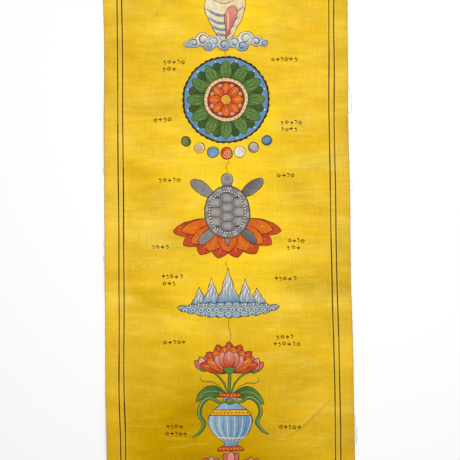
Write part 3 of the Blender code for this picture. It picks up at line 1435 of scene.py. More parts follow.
FOLDS = (
    Fold(0.104, -0.223, 46, 0.062, 0.014, 0.0022), Fold(0.000, -0.071, 0, 0.260, 0.010, 0.0010),
    Fold(-0.030, -0.267, -2, 0.200, 0.012, 0.0012), Fold(0.150, 0.215, 90, 0.070, 0.036, 0.0026),
    Fold(0.150, 0.045, 90, 0.055, 0.030, 0.0018), Fold(0.150, -0.125, 90, 0.065, 0.040, 0.0030),
    Fold(0.150, -0.360, 90, 0.070, 0.040, 0.0034), Fold(-0.150, 0.330, 90, 0.070, 0.036, 0.0028),
    Fold(-0.150, 0.120, 90, 0.060, 0.032, 0.0020), Fold(-0.150, -0.045, 90, 0.050, 0.028, 0.0016),
    Fold(-0.150, -0.245, 90, 0.070, 0.040, 0.0032), Fold(0.150, 0.500, -45, 0.090, 0.060, 0.0070),
    Fold(-0.150, 0.500, 45, 0.080, 0.055, 0.0056), Fold(0.150, -0.500, 45, 0.080, 0.055, 0.0052),
    Fold(-0.150, -0.500, -45, 0.090, 0.060, 0.0074), Fold(-0.065, 0.395, 20, 0.085, 0.050, 0.0012),
    Fold(0.060, 0.315, -10, 0.080, 0.045, 0.0010), Fold(-0.050, 0.010, 12, 0.080, 0.040, 0.0008),
    Fold(0.055, -0.390, 15, 0.085, 0.050, 0.0012),
)

SWAYS = (
    Sway(-0.500, 0.0004, -0.0006), Sway(-0.400, -0.0006, 0.0004), Sway(-0.258, 0.0006, 0.0010),
    Sway(-0.188, -0.0008, 0.0008), Sway(-0.072, -0.0003, -0.0004), Sway(0.044, -0.0004, -0.0002),
    Sway(0.137, 0.0001, -0.0007), Sway(0.230, 0.0008, -0.0002), Sway(0.300, 0.0002, 0.0009),
    Sway(0.400, -0.0007, 0.0003), Sway(0.500, 0.0003, -0.0006),
)

# Fine creases in the painted side only, too slight to part the cloth from what it lies on
CREASES = (
    Fold(-0.060, 0.168, 3, 0.070, 0.0050, 0.00022), Fold(0.085, 0.096, -5, 0.050, 0.0045, 0.00020),
    Fold(0.030, -0.012, 2, 0.110, 0.0045, 0.00020), Fold(-0.095, -0.118, -7, 0.045, 0.0050, 0.00022),
    Fold(0.060, -0.158, 8, 0.055, 0.0050, 0.00020), Fold(-0.108, -0.238, 2, 0.030, 0.0040, 0.00030),
    Fold(0.094, -0.233, 38, 0.044, 0.0032, -0.00034), Fold(0.112, 0.250, 84, 0.040, 0.0060, 0.00020),
    Fold(-0.010, 0.372, -3, 0.120, 0.0060, 0.00025), Fold(0.020, -0.428, 4, 0.110, 0.0060, 0.00025),
)


@dataclass(frozen=True)
class ClothLie:
    """How the strip of cloth lies: its cut size, its folds and its uneven sides."""

    width: float = 0.300
    length: float = 1.000
    thickness: float = 0.001
    folds: tuple[Fold, ...] = FOLDS
    creases: tuple[Fold, ...] = CREASES
    sways: tuple[Sway, ...] = SWAYS
    fuzz: float = 0.00013  # how far the yarns of a raw side stray from the cut
    fuzzy: float = 0.004  # how far in from the side they do

    def underside(self, flat: Array) -> Array:
        """Height of the underside over the floor at each place of the flat strip."""
        return sum((fold.heights(flat) for fold in self.folds), np.zeros(len(flat)))

    def top(self, flat: Array) -> Array:
        """Height of the painted side over the floor at each place of the flat strip."""
        fine = sum((crease.heights(flat) for crease in self.creases), np.zeros(len(flat)))
        return self.underside(flat) + self.thickness + fine

    def plan(self, flat: Array) -> Array:
        """Finds where places of the flat strip lie, seen from above.

        Args:
            flat: The places.

        Returns:
            The x and y of each.
        """
        x, y = flat.T
        rows = np.array([(sway.y, sway.left, sway.right) for sway in self.sways])
        high = np.clip(np.searchsorted(rows[:, 0], y), 1, len(rows) - 1)
        low = rows[high - 1]
        share = eased((y - low[:, 0]) / (rows[high, 0] - low[:, 0]))
        left, right = (low[:, k] * (1 - share) + rows[high, k] * share for k in (1, 2))
        across = 0.5 + x / self.width
        rim = np.clip(1 - (self.width / 2 - np.abs(x)) / self.fuzzy, 0, 1)
        stray = np.sin(y * 1130) * np.sin(y * 421 + 1.3) + 0.6 * np.sin(y * 2711 + x * 9)
        moved = x + left * (1 - across) + right * across + self.fuzz * rim * stray * np.sign(x)
        return np.stack([moved, y], axis=1)

    def slopes(self, flat: Array, top: bool) -> Array:
        """Finds which way the sheet faces.

        Args:
            flat: Places of the flat strip.
            top: Whether they are on the painted side.

        Returns:
            The unit normal at each.
        """
        height = self.top if top else self.underside
        reach = 0.0004
        rise_x = (height(flat + (reach, 0)) - height(flat - (reach, 0))) / (2 * reach)
        rise_y = (height(flat + (0, reach)) - height(flat - (0, reach))) / (2 * reach)
        normal = np.stack([-rise_x, -rise_y, np.ones(len(flat))], axis=1)
        normal /= np.linalg.norm(normal, axis=1, keepdims=True)
        return normal if top else -normal


# Surface finishes


class Graph:
    """A shader tree, with short ways to add to it."""

    def __init__(self, tree: bpy.types.NodeTree) -> None:
        """Works on that tree."""
        self.tree = tree

    def add(self, kind: str, inputs: dict | None = None, **settings: object) -> bpy.types.Node:
        """Adds a node.

        Args:
            kind: Its type, without the leading ShaderNode.
            inputs: What its inputs hold or are linked to, by name or by number.
            settings: Its own settings.

        Returns:
            The node.
        """
        node = self.tree.nodes.new("ShaderNode" + kind)
        for name, value in settings.items():
            setattr(node, name, value)
        for name, value in (inputs or {}).items():
            if isinstance(value, Socket):
                self.tree.links.new(value, node.inputs[name])
            else:
                node.inputs[name].default_value = value
        return node

    def math(self, operation: str, *values: object) -> Socket:
        """One sum on numbers."""
        return self.add("Math", dict(enumerate(values)), operation=operation).outputs[0]

    def plus(self, first: object, second: object) -> Socket:
        """The first number plus the second."""
        return self.math("ADD", first, second)

    def minus(self, first: object, second: object) -> Socket:
        """The first number minus the second."""
        return self.math("SUBTRACT", first, second)

    def times(self, *values: object) -> Socket:
        """The first number times the second, plus the third where there is one."""
        return self.math("MULTIPLY" if len(values) == 2 else "MULTIPLY_ADD", *values)

    def band(self, value: Socket, low: float, high: float, to: Point = (0.0, 1.0)) -> Socket:
        """The value's place between low and high, smoothly, brought into a new range."""
        inputs = {0: value, 1: low, 2: high, 3: to[0], 4: to[1]}
        return self.add("MapRange", inputs, interpolation_type="SMOOTHSTEP").outputs[0]

    def blend(self, share: object, first: object, second: object, way: str = "MIX") -> Socket:
        """Two colours mixed."""
        inputs = {0: share, 6: first, 7: second}
        return self.add("Mix", inputs, data_type="RGBA", blend_type=way).outputs[2]

    def grain(
        self, point: Socket, x: float, y: float, detail: float = 2.0, rough: float = 0.5, turn: float = 0.0
    ) -> Socket:
        """Flat noise with features about 1/x wide and 1/y high.

        Args:
            point: Where it is read.
            x: How fine it is across the cloth, per metre.
            y: How fine it is along the cloth, per metre.
            detail: How many finer layers it has.
            rough: How much each finer layer weighs.
            turn: How far it is turned, in degrees.

        Returns:
            The noise, from 0 to 1.
        """
        scaled = {"Vector": point, "Rotation": (0, 0, math.radians(turn)), "Scale": (x, y, 1)}
        inputs = {"Vector": self.add("Mapping", scaled).outputs[0], "Scale": 1.0}
        inputs |= {"Detail": detail, "Roughness": rough}
        return self.add("TexNoise", inputs, noise_dimensions="2D").outputs["Fac"]

    def speckle(self, point: Socket, scale: float, detail: float) -> Socket:
        """Solid noise at a point."""
        inputs = {"Vector": point, "Scale": scale, "Detail": detail}
        return self.add("TexNoise", inputs).outputs["Fac"]


class Surface(Graph):
    """A material of its own, with its Principled shader."""

    name = "surface"
    roughness = 0.9

    def __init__(self) -> None:
        """Makes the material, still plain."""
        self.material = bpy.data.materials.new(self.name)
        self.material.use_nodes = True
        super().__init__(self.material.node_tree)
        self.shader = self.tree.nodes["Principled BSDF"]
        self.set("Roughness", self.roughness)
        self.set("Specular IOR Level", 0.04)

    def build(self) -> bpy.types.Material:
        """Dresses the material and returns it."""
        self.dress()
        return self.material

    def dress(self) -> None:
        """Gives the shader its colours and its relief."""
        raise NotImplementedError

    def set(self, part: str, value: object) -> None:
        """Gives one of the shader's inputs a value."""
        self.shader.inputs[part].default_value = value

    def join(self, part: str, value: Socket) -> None:
        """Links a value to one of the shader's inputs."""
        self.tree.links.new(value, self.shader.inputs[part])

    def emboss(self, height: Socket, strength: float, distance: float) -> None:
        """Gives the surface a fine relief."""
        bump = self.add("Bump", {"Strength": strength, "Distance": distance, "Height": height})
        self.join("Normal", bump.outputs[0])


def colour_of(*levels: int) -> Colour:
    """An sRGB colour, from 0 to 255, as a linear one."""
    return (*linear(*levels), 1.0)


@dataclass(frozen=True)
class Weave:
    """Plain cotton weave, as a shader group: threads, slubs and the height of both."""

    pitch: float = 0.00062
    name: str = "plain_weave"

    def group(self) -> bpy.types.NodeTree:
        """Builds the group, once.

        Returns:
            The group: a point in, a height and a slub mask out.
        """
        made = bpy.data.node_groups.get(self.name)
        if made:
            return made
        tree = bpy.data.node_groups.new(self.name, "ShaderNodeTree")
        tree.interface.new_socket("Point", in_out="INPUT", socket_type="NodeSocketVector")
        tree.interface.new_socket("Height", in_out="OUTPUT", socket_type="NodeSocketFloat")
        tree.interface.new_socket("Slub", in_out="OUTPUT", socket_type="NodeSocketFloat")
        graph = Graph(tree)
        start, end = tree.nodes.new("NodeGroupInput"), tree.nodes.new("NodeGroupOutput")
        point = start.outputs["Point"]
        wander = graph.grain(point, 60, 60, 1.0)
        place = graph.add("SeparateXYZ", {0: point}).outputs
        rows = []
        for axis in (0, 1):
            shifted = graph.times(wander, 0.0016, place[axis])
            rows.append(graph.math("SINE", graph.times(shifted, 2 * math.pi / self.pitch)))
        weft_slub = graph.band(graph.grain(point, 26, 900, 1.0), 0.60, 0.78)
        warp_slub = graph.band(graph.grain(point, 1100, 30, 1.0), 0.60, 0.78)
        slub = graph.math("MAXIMUM", weft_slub, warp_slub)
        threads = graph.times(*rows)
        height = graph.times(slub, 1.2, graph.times(threads, 0.5))
        tree.links.new(height, end.inputs["Height"])
        tree.links.new(slub, end.inputs["Slub"])
        return tree

    def place(self, graph: Graph, point: Socket) -> Sockets:
        """Puts the group into a material.

        Args:
            graph: The material's graph.
            point: Where the weave is read.

        Returns:
            The group's outputs.
        """
        node = graph.tree.nodes.new("ShaderNodeGroup")
        node.node_tree = self.group()
        graph.tree.links.new(point, node.inputs["Point"])
        return node.outputs


class PaintedGround(Surface):
    """Ochre distemper brushed across the cotton, with the painting over it."""

    name = "ochre_ground"
    roughness = 0.8
    HALF_WIDTH = 0.150  # metres
    GLOW = 0.155  # metres from the left side to the line that the ground is brightest along
    OCHRE = colour_of(239, 192, 38)
    DEEP = colour_of(233, 184, 24)
    PALE = colour_of(243, 206, 74)
    BRIGHT = colour_of(251, 208, 36)
    STREAK = colour_of(251, 218, 80)
    MARGIN = colour_of(236, 197, 76)
    AMBER = colour_of(212, 164, 0)
    SPECK = colour_of(120, 78, 20)
    # painted shade for the thin dark line where the cloth's edge stands
    EDGE_SHADE = colour_of(164, 132, 72)
    # Each set of brush marks: how fine it is across and along, where it starts and fills, and its weight
    BRUSH_MARKS = (
        (26, 430, 0.50, 0.80, 0.42),
        (70, 800, 0.52, 0.80, 0.34),
        (16, 180, 0.52, 0.78, 0.26),
    )

    def __init__(self) -> None:
        """Makes the material and reads the cloth's own maps."""
        super().__init__()
        self.flat = self.add("UVMap", uv_map="flat").outputs[0]
        self.across, self.along, _ = self.add("SeparateXYZ", {0: self.flat}).outputs
        self.weave = Weave().place(self, self.flat)
        self.wash = self.add("Attribute", attribute_name="wash").outputs
        self.off_glow = self.math("ABSOLUTE", self.minus(self.across, self.GLOW))

    def dress(self) -> None:
        """Gives the shader its colours and its relief."""
        ground = self._ground()
        painted = self.add("Attribute", attribute_name="paint").outputs
        colour, cover = self._brushwork(painted)
        self.join("Base Color", self.blend(cover, ground, colour))
        rough = self.times(self.grain(self.flat, 90, 240), 0.16, 0.72)
        self.join("Roughness", self.minus(rough, self.times(cover, 0.06)))
        bristles = self.grain(self.flat, 50, 1400)
        self.emboss(self.times(bristles, 0.5, self.weave["Height"]), 0.25, 0.0001)

    def _ground(self) -> Socket:
        """The ochre, from its washes to its specks.

        Returns:
            Its colour.
        """
        lighter, ambered, chalky = self.add("SeparateColor", {0: self.wash["Color"]}).outputs
        colour = self._washed(chalky)
        bend = self.times(self.grain(self.flat, 11, 11, 1.0), 0.014, self.along)
        swept = self.add("CombineXYZ", {0: self.across, 1: bend}).outputs[0]
        colour = self._streaked(colour, swept)
        # More amber towards the lower end, most along the middle, and in a darker patch at the lower left
        low = self.band(self.along, 0.44, 0.19)
        amber_share = self.times(low, self.band(self.off_glow, 0.15, 0.03, (0.55, 1.0)))
        lower_left_patch = self._lower_left_patch()
        amber_share = self.plus(self.math("MAXIMUM", amber_share, lower_left_patch), self.minus(ambered, 0.5))
        colour = self.blend(amber_share, colour, self.AMBER)
        off_middle = self.math("ABSOLUTE", self.minus(self.across, self.HALF_WIDTH))
        side = self.minus(self.HALF_WIDTH, off_middle)
        tone = self.plus(self._tone(swept, lower_left_patch), self.minus(lighter, 0.5))
        tone = self.minus(tone, self.band(side, 0.011, 0.001, (0.0, 0.05)))
        # Painted shade along the right margin, up to 7 % darker towards the right side
        tone = self.minus(tone, self.band(self.across, 0.262, 0.290, (0.0, 0.07)))
        colour = self.blend(1.0, colour, tone, "MULTIPLY")
        # Painted shade: a greyish brown line within about 1.6 mm of each side, for the cloth's edge
        colour = self.blend(self.band(side, 0.0016, 0.0, (0.0, 0.7)), colour, self.EDGE_SHADE)
        return self._specked(colour)

    def _washed(self, chalky: Socket) -> Socket:
        """The cloudy washes, the brighter middle and the paler margins.

        Args:
            chalky: How pale each place is, 0.5 for no change.

        Returns:
            Their colour.
        """
        wash = self.grain(self.flat, 11, 30, 4.0, 0.6)
        colour = self.blend(self.band(wash, 0.30, 0.50), self.DEEP, self.OCHRE)
        colour = self.blend(self.band(wash, 0.48, 0.74), colour, self.PALE)
        glow = self.band(self.grain(self.flat, 7, 9, turn=20), 0.34, 0.62)
        colour = self.blend(self.times(glow, self.band(self.off_glow, 0.11, 0.02)), colour, self.BRIGHT)
        margin = self.times(self.band(self.off_glow, 0.118, 0.130), 0.20)
        return self.blend(self.plus(margin, self.minus(chalky, 0.5)), colour, self.MARGIN)

    def _streaked(self, colour: Socket, swept: Socket) -> Socket:
        """The brush marks, pale and dark, and the yarns that show through.

        Args:
            colour: The colour under them.
            swept: The place on the cloth, bent as the brush's way bends.

        Returns:
            The colour with them.
        """
        cluster = self.band(self.grain(self.flat, 9, 24), 0.40, 0.68)
        for across, along, low, high, amount in self.BRUSH_MARKS:
            marks = self.band(self.grain(swept, across, along, 3.0, 0.62), low, high)
            share = self.times(self.times(cluster, amount, amount * 0.35), marks)
            colour = self.blend(share, colour, self.STREAK)
        dry = self.band(self.grain(swept, 120, 420, 3.0, 0.7, 4), 0.53, 0.66)
        dry = self.times(dry, self.times(self.minus(self.wash["Alpha"], 0.5), 0.62))
        colour = self.blend(dry, colour, self.STREAK)
        dark = self.band(self.grain(swept, 19, 300, 3.0, 0.6), 0.46, 0.80)
        colour = self.blend(self.times(dark, 0.34), colour, self.DEEP)
        return self.blend(self.times(self.weave["Slub"], 0.10), colour, self.STREAK)

    def _lower_left_patch(self) -> Socket:
        """How strongly the darker patch near the lower left corner shows at each place.

        Returns:
            How strongly it shows.
        """
        scaled = {"Vector": self.flat, "Location": (-0.09, -0.20, 0), "Scale": (1.0, 0.9, 1)}
        corner = self.add("Mapping", scaled).outputs[0]
        reach = self.add("VectorMath", {0: corner}, operation="LENGTH").outputs["Value"]
        return self.times(self.band(reach, 0.17, 0.03), 0.55)

    def _tone(self, swept: Socket, lower_left_patch: Socket) -> Socket:
        """How light each place is against its colour: laps of the wash, yarns, grain and the darker patch at
        the lower left.

        Args:
            swept: The place on the cloth, bent as the brush's way bends.
            lower_left_patch: How strongly the darker patch at the lower left shows.

        Returns:
            The tone, 1 for no change.
        """
        laps = self.band(self.grain(swept, 4, 10, 3.0, 0.45), 0.45, 0.54)
        tone = self.times(laps, 0.045, 0.985)
        for point, across, along, amount in (
            (self.flat, 14, 30, 0.34),
            (swept, 36, 120, 0.20),
            (self.flat, 560, 34, 0.18),
            (self.flat, 640, 700, 0.30),
        ):
            tone = self.times(self.minus(self.grain(point, across, along), 0.5), amount, tone)
        return self.times(lower_left_patch, -0.24, tone)

    def _specked(self, colour: Socket) -> Socket:
        """A few small dark specks.

        Args:
            colour: The colour under them.

        Returns:
            The colour with them.
        """
        cells = self.add("TexVoronoi", {"Vector": self.flat, "Scale": 46.0}, voronoi_dimensions="2D")
        chance = self.add("SeparateColor", {0: cells.outputs["Color"]}).outputs[0]
        size = self.times(self.band(chance, 0.80, 1.0), 0.030)
        dot = self.times(self.math("LESS_THAN", cells.outputs["Distance"], size), 0.6)
        return self.blend(dot, colour, self.SPECK)

    def _brushwork(self, painted: Sockets) -> tuple[Socket, Socket]:
        """The painting with the brush's unevenness.

        Args:
            painted: The painting's colour and how well it covers.

        Returns:
            The same two, uneven.
        """
        tone = self.band(self.grain(self.flat, 230, 170, 3.0, 0.6), 0.25, 0.75, (0.86, 1.10))
        grey = self.add("CombineXYZ", {0: tone, 1: tone, 2: tone}).outputs[0]
        colour = self.blend(1.0, painted["Color"], grey, "MULTIPLY")
        dry = self.band(self.grain(self.flat, 900, 1100, 1.0), 0.56, 0.80)
        patch = self.band(self.grain(self.flat, 70, 70), 0.44, 0.70)
        thin = self.times(self.times(dry, patch), 0.45)
        thin = self.math("MAXIMUM", thin, self.times(self.weave["Slub"], 0.10))
        return colour, self.times(painted["Alpha"], self.minus(1.0, thin))


class SoakedBack(Surface):
    """The unpainted side and the raw rim: cotton that the ochre has soaked in patches."""

    name = "soaked_back"
    COTTON = colour_of(214, 186, 128)
    SOAKED = colour_of(214, 170, 72)

    def dress(self) -> None:
        """Gives the shader its colours and its relief."""
        flat = self.add("UVMap", uv_map="flat").outputs[0]
        weave = Weave().place(self, flat)
        patches = self.band(self.grain(flat, 12, 20, 5.0, 0.62), 0.22, 0.82)
        colour = self.blend(patches, self.COTTON, self.SOAKED)
        specks = self.band(self.grain(flat, 420, 520), 0.54, 0.74)
        colour = self.blend(self.times(specks, 0.35), colour, self.SOAKED)
        self.join("Base Color", self.blend(self.times(weave["Slub"], 0.3), colour, self.COTTON))
        self.emboss(weave["Height"], 0.5, 0.00015)


class BareYarn(Surface):
    """Undyed cotton yarn."""

    name = "bare_yarn"
    roughness = 0.92
    PALE = colour_of(206, 198, 184)
    GREY = colour_of(168, 158, 142)

    def dress(self) -> None:
        """Gives the shader its colours and its relief."""
        point = self.add("TexCoord").outputs["Object"]
        mottle = self.band(self.speckle(point, 260.0, 2.0), 0.35, 0.65)
        self.join("Base Color", self.blend(mottle, self.PALE, self.GREY))
        self.emboss(self.speckle(point, 2600.0, 1.0), 0.4, 0.0001)


class PaleFloor(Surface):
    """A plain white floor that is lit evenly."""

    name = "pale_floor"
    roughness = 0.95

    def dress(self) -> None:
        """Gives the shader its colours and its relief."""
        self.set("Base Color", (0.93, 0.93, 0.93, 1))
        self.set("Emission Color", (1, 1, 1, 1))
        self.set("Emission Strength", 0.10)


# The pieces


@dataclass(frozen=True)
class Sheet:
    """The cloth's triangles: the painted side's, then the back's, then the rim's."""

    flat: Array  # each place on the flat strip
    faces: Array  # three of their numbers for each triangle
    tops: int  # how many are the painted side's
    backs: int  # how many are the back's

    @property
    def corners(self) -> Array:
        """The place of each corner, triangle by triangle."""
        return self.flat[self.faces.ravel()]


@dataclass(frozen=True)
class PaintedCloth:
    """The strip of cotton with its painted side, its back and its raw rim as one closed sheet."""

    lie: ClothLie = ClothLie()
    cell: float = 0.004
    back_cell: float = 0.008
    bake_parts: int = 4
    bake_gap: float = 0.004

    def build(self, strokes: list[Stroke]) -> bpy.types.Object:
        """Builds the sheet and dresses it.

        Args:
            strokes: What is painted on it.

        Returns:
            The sheet.
        """
        sheet, points = self._sheet(strokes)
        mesh = bpy.data.meshes.new("painted_scroll_cloth")
        mesh.from_pydata(points.tolist(), [], sheet.faces.tolist())
        for name, place in (("flat", self._flat_map(sheet)), ("OFBake", self._bake_map(sheet))):
            mesh.uv_layers.new(name=name).data.foreach_set("uv", place.astype(np.float32).ravel())
        self._paint(mesh, sheet, strokes)
        mesh.materials.append(PaintedGround().build())
        mesh.materials.append(SoakedBack().build())
        number = np.arange(len(sheet.faces))
        mesh.polygons.foreach_set("material_index", (number >= sheet.tops).astype(np.int32))
        mesh.polygons.foreach_set("use_smooth", number < sheet.tops + sheet.backs)
        mesh.update()
        mesh.normals_split_custom_set(self._normals(sheet).tolist())
        cloth = bpy.data.objects.new("painted_scroll_cloth", mesh)
        bpy.context.collection.objects.link(cloth)
        return cloth

    def _sheet(self, strokes: list[Stroke]) -> tuple[Sheet, Array]:
        """Joins the painted side, the back and the rim.

        Args:
            strokes: What is painted on the painted side.

        Returns:
            The triangles, and the x, y and z of each place.
        """
        lie = self.lie
        rim = self._rim()
        top, top_faces = self._net(self._inner(self.cell), rim, self._paths(strokes))
        back, back_faces = self._net(self._inner(self.back_cell), rim, [])
        heights = np.concatenate([lie.top(top), lie.underside(back)])
        flat = np.vstack([top, back])
        count, shift = len(rim), len(top)
        i = np.arange(count)
        j = (i + 1) % count
        rim_faces = [np.stack([i, i + shift, j + shift], 1), np.stack([i, j + shift, j], 1)]
        faces = np.vstack([top_faces, back_faces[:, ::-1] + shift, *rim_faces])
        sheet = Sheet(flat, faces, len(top_faces), len(back_faces))
        return sheet, np.column_stack([lie.plan(flat), heights])

    def _rim(self) -> Array:
        """The places along the rim of the flat strip.

        Returns:
            The places, anticlockwise from the lower left corner.
        """
        half_w, half_l = self.lie.width / 2, self.lie.length / 2
        columns, rows = round(self.lie.width / self.cell), 2 * round(self.lie.length / self.cell)
        x, y = np.linspace(-half_w, half_w, columns + 1), np.linspace(-half_l, half_l, rows + 1)
        sides = (
            (x[:-1], np.full(columns, -half_l)),
            (np.full(rows, half_w), y[:-1]),
            (x[:0:-1], np.full(columns, half_l)),
            (np.full(rows, -half_w), y[:0:-1]),
        )
        return np.vstack([np.stack(side, axis=1) for side in sides])

    def _inner(self, cell: float) -> Array:
        """The places of an even grid inside the rim.

        Args:
            cell: How far apart they are.

        Returns:
            The places, with each second row moved sideways.
        """
        half_w, half_l = self.lie.width / 2, self.lie.length / 2
        x = np.linspace(-half_w, half_w, round(self.lie.width / cell) + 1)[1:-1]
        y = np.linspace(-half_l, half_l, round(self.lie.length / cell) + 1)[1:-1]
        inner = np.stack(np.meshgrid(x, y), axis=2)
        inner[:, :, 0] += np.where(np.arange(len(y)) % 2, cell / 4, -cell / 4)[:, None]
        return inner.reshape(-1, 2)

    def _paths(self, strokes: list[Stroke]) -> list[Array]:
        """The paths that the painted side's triangles follow.

        Args:
            strokes: What is painted on it.

        Returns:
            The seams of the bake map and the visible edges of the brushwork.
        """
        half_w = self.lie.width / 2
        seams = np.linspace(-0.5, 0.5, self.bake_parts + 1) * self.lie.length
        found = [np.array([(-half_w, y), (half_w, y)]) for y in seams[1:-1]]
        for stroke in strokes:
            for outline in stroke.outlines:
                closed = np.vstack([outline, outline[:1]])
                if stroke.within is None:
                    found.append(closed * MM)
                    continue
                shown = inside(closed, [stroke.within])
                kept = np.flatnonzero(shown[:-1] | shown[1:])
                found += [closed[i : i + 2] * MM for i in kept]
        return found

    def _net(self, inner: Array, rim: Array, paths: list[Array]) -> tuple[Array, Array]:
        """Joins places into triangles.

        Args:
            inner: Places inside the rim.
            rim: The rim's places, which stay first and in order.
            paths: Paths that the triangles' edges follow.

        Returns:
            All the places, and three of their numbers for each triangle.
        """
        count = len(rim)
        places = [rim, inner, *paths]
        edges = [(i, (i + 1) % count) for i in range(count)]
        start = count + len(inner)
        for path in paths:
            edges += [(start + i, start + i + 1) for i in range(len(path) - 1)]
            start += len(path)
        vectors = [Vector(place) for place in (np.vstack(places) / MM).tolist()]
        found = delaunay_2d_cdt(vectors, edges, [], 0, 1e-4, False)
        return np.array([v[:] for v in found[0]]) * MM, np.array(found[2], int)

    def _flat_map(self, sheet: Sheet) -> Array:
        """The map in metres from the flat strip's lower left corner, corner by corner."""
        return sheet.corners + (self.lie.width / 2, self.lie.length / 2)

    def _bake_map(self, sheet: Sheet) -> Array:
        """A map that fills its square: the painted side in four parts over the back and the rim.

        Args:
            sheet: The cloth's triangles.

        Returns:
            A place on the map for each corner of each triangle.
        """
        lie, gap = self.lie, self.bake_gap
        share = sheet.flat[sheet.faces] / (lie.width, lie.length) + 0.5
        tops, backs = sheet.tops, sheet.backs
        scale = (0.5 - 2 * gap) / lie.width
        part = (share[:tops, :, 1].mean(axis=1) * self.bake_parts).astype(int)
        part = np.minimum(part, self.bake_parts - 1)
        part_height = scale * lie.length / self.bake_parts
        lower = np.array((1 - 2 * part_height - 2 * gap, 1 - part_height - gap))
        found = np.zeros(sheet.faces.shape + (2,))
        found[:tops, :, 0] = gap + (part % 2)[:, None] * 0.5 + share[:tops, :, 0] * scale * lie.width
        up = (share[:tops, :, 1] - (part / self.bake_parts)[:, None]) * scale * lie.length
        found[:tops, :, 1] = lower[part // 2][:, None] + up
        back = slice(tops, tops + backs)
        found[back, :, 0] = gap + share[back, :, 1] * (1 - 2 * gap)
        found[back, :, 1] = gap + share[back, :, 0] * (lower[0] - 5 * gap)
        rim = slice(tops + backs, None)
        right = share[rim, :, 0] > 0.5
        found[rim, :, 0] = gap + (share[rim, :, 1] * 0.5 + right * 0.5) * (1 - 2 * gap)
        above = sheet.faces[rim] <= sheet.faces[:tops].max()
        found[rim, :, 1] = lower[0] - 3 * gap + above * gap
        return found.reshape(-1, 2)

    def _paint(self, mesh: bpy.types.Mesh, sheet: Sheet, strokes: list[Stroke]) -> None:
        """Gives the sheet its painting and the unevenness of its ground.

        Args:
            mesh: The sheet.
            sheet: Its triangles.
            strokes: What is painted on it.
        """
        places = sheet.corners / MM
        middles = sheet.flat[sheet.faces[: sheet.tops]].mean(axis=1) / MM
        shown = np.repeat(self._on_top(middles, strokes), 3)
        paint = np.zeros((len(places), 4))
        for number in np.unique(shown[shown >= 0]):
            mine = np.flatnonzero(shown == number)
            paint[mine, :3] = strokes[number].colours(places[mine])
            paint[mine, 3] = strokes[number].strength
        wash = 0.5 + sum(patch.at(sheet.flat / MM) for patch in WASHES)
        layers = (
            (mesh.color_attributes.new("paint", "FLOAT_COLOR", "CORNER"), paint),
            (mesh.attributes.new("wash", "FLOAT_COLOR", "POINT"), wash),
        )
        for layer, values in layers:
            layer.data.foreach_set("color", values.astype(np.float32).ravel())

    def _on_top(self, middles: Array, strokes: list[Stroke]) -> Array:
        """Finds the stroke that shows at each place.

        Args:
            middles: The places.
            strokes: The strokes, in the order in which they are laid.

        Returns:
            The number of the last stroke that covers each place, or -1.
        """
        top = np.full(len(middles), -1)
        order = np.argsort(middles[:, 1])
        heights = middles[order, 1]
        for number, stroke in enumerate(strokes):
            low, high = stroke.box
            near = order[np.searchsorted(heights, low[1]) : np.searchsorted(heights, high[1], "right")]
            top[near[stroke.covers(middles[near])]] = number
        return top

    def _normals(self, sheet: Sheet) -> Array:
        """The smooth normal of each corner; the rim's stay as they are.

        Args:
            sheet: The cloth's triangles.

        Returns:
            The normals, 0 for a corner of the rim.
        """
        corners = sheet.corners
        start, end = 3 * sheet.tops, 3 * (sheet.tops + sheet.backs)
        normals = np.zeros((len(corners), 3))
        normals[:start] = self.lie.slopes(corners[:start], True)
        normals[start:end] = self.lie.slopes(corners[start:end], False)
        return normals


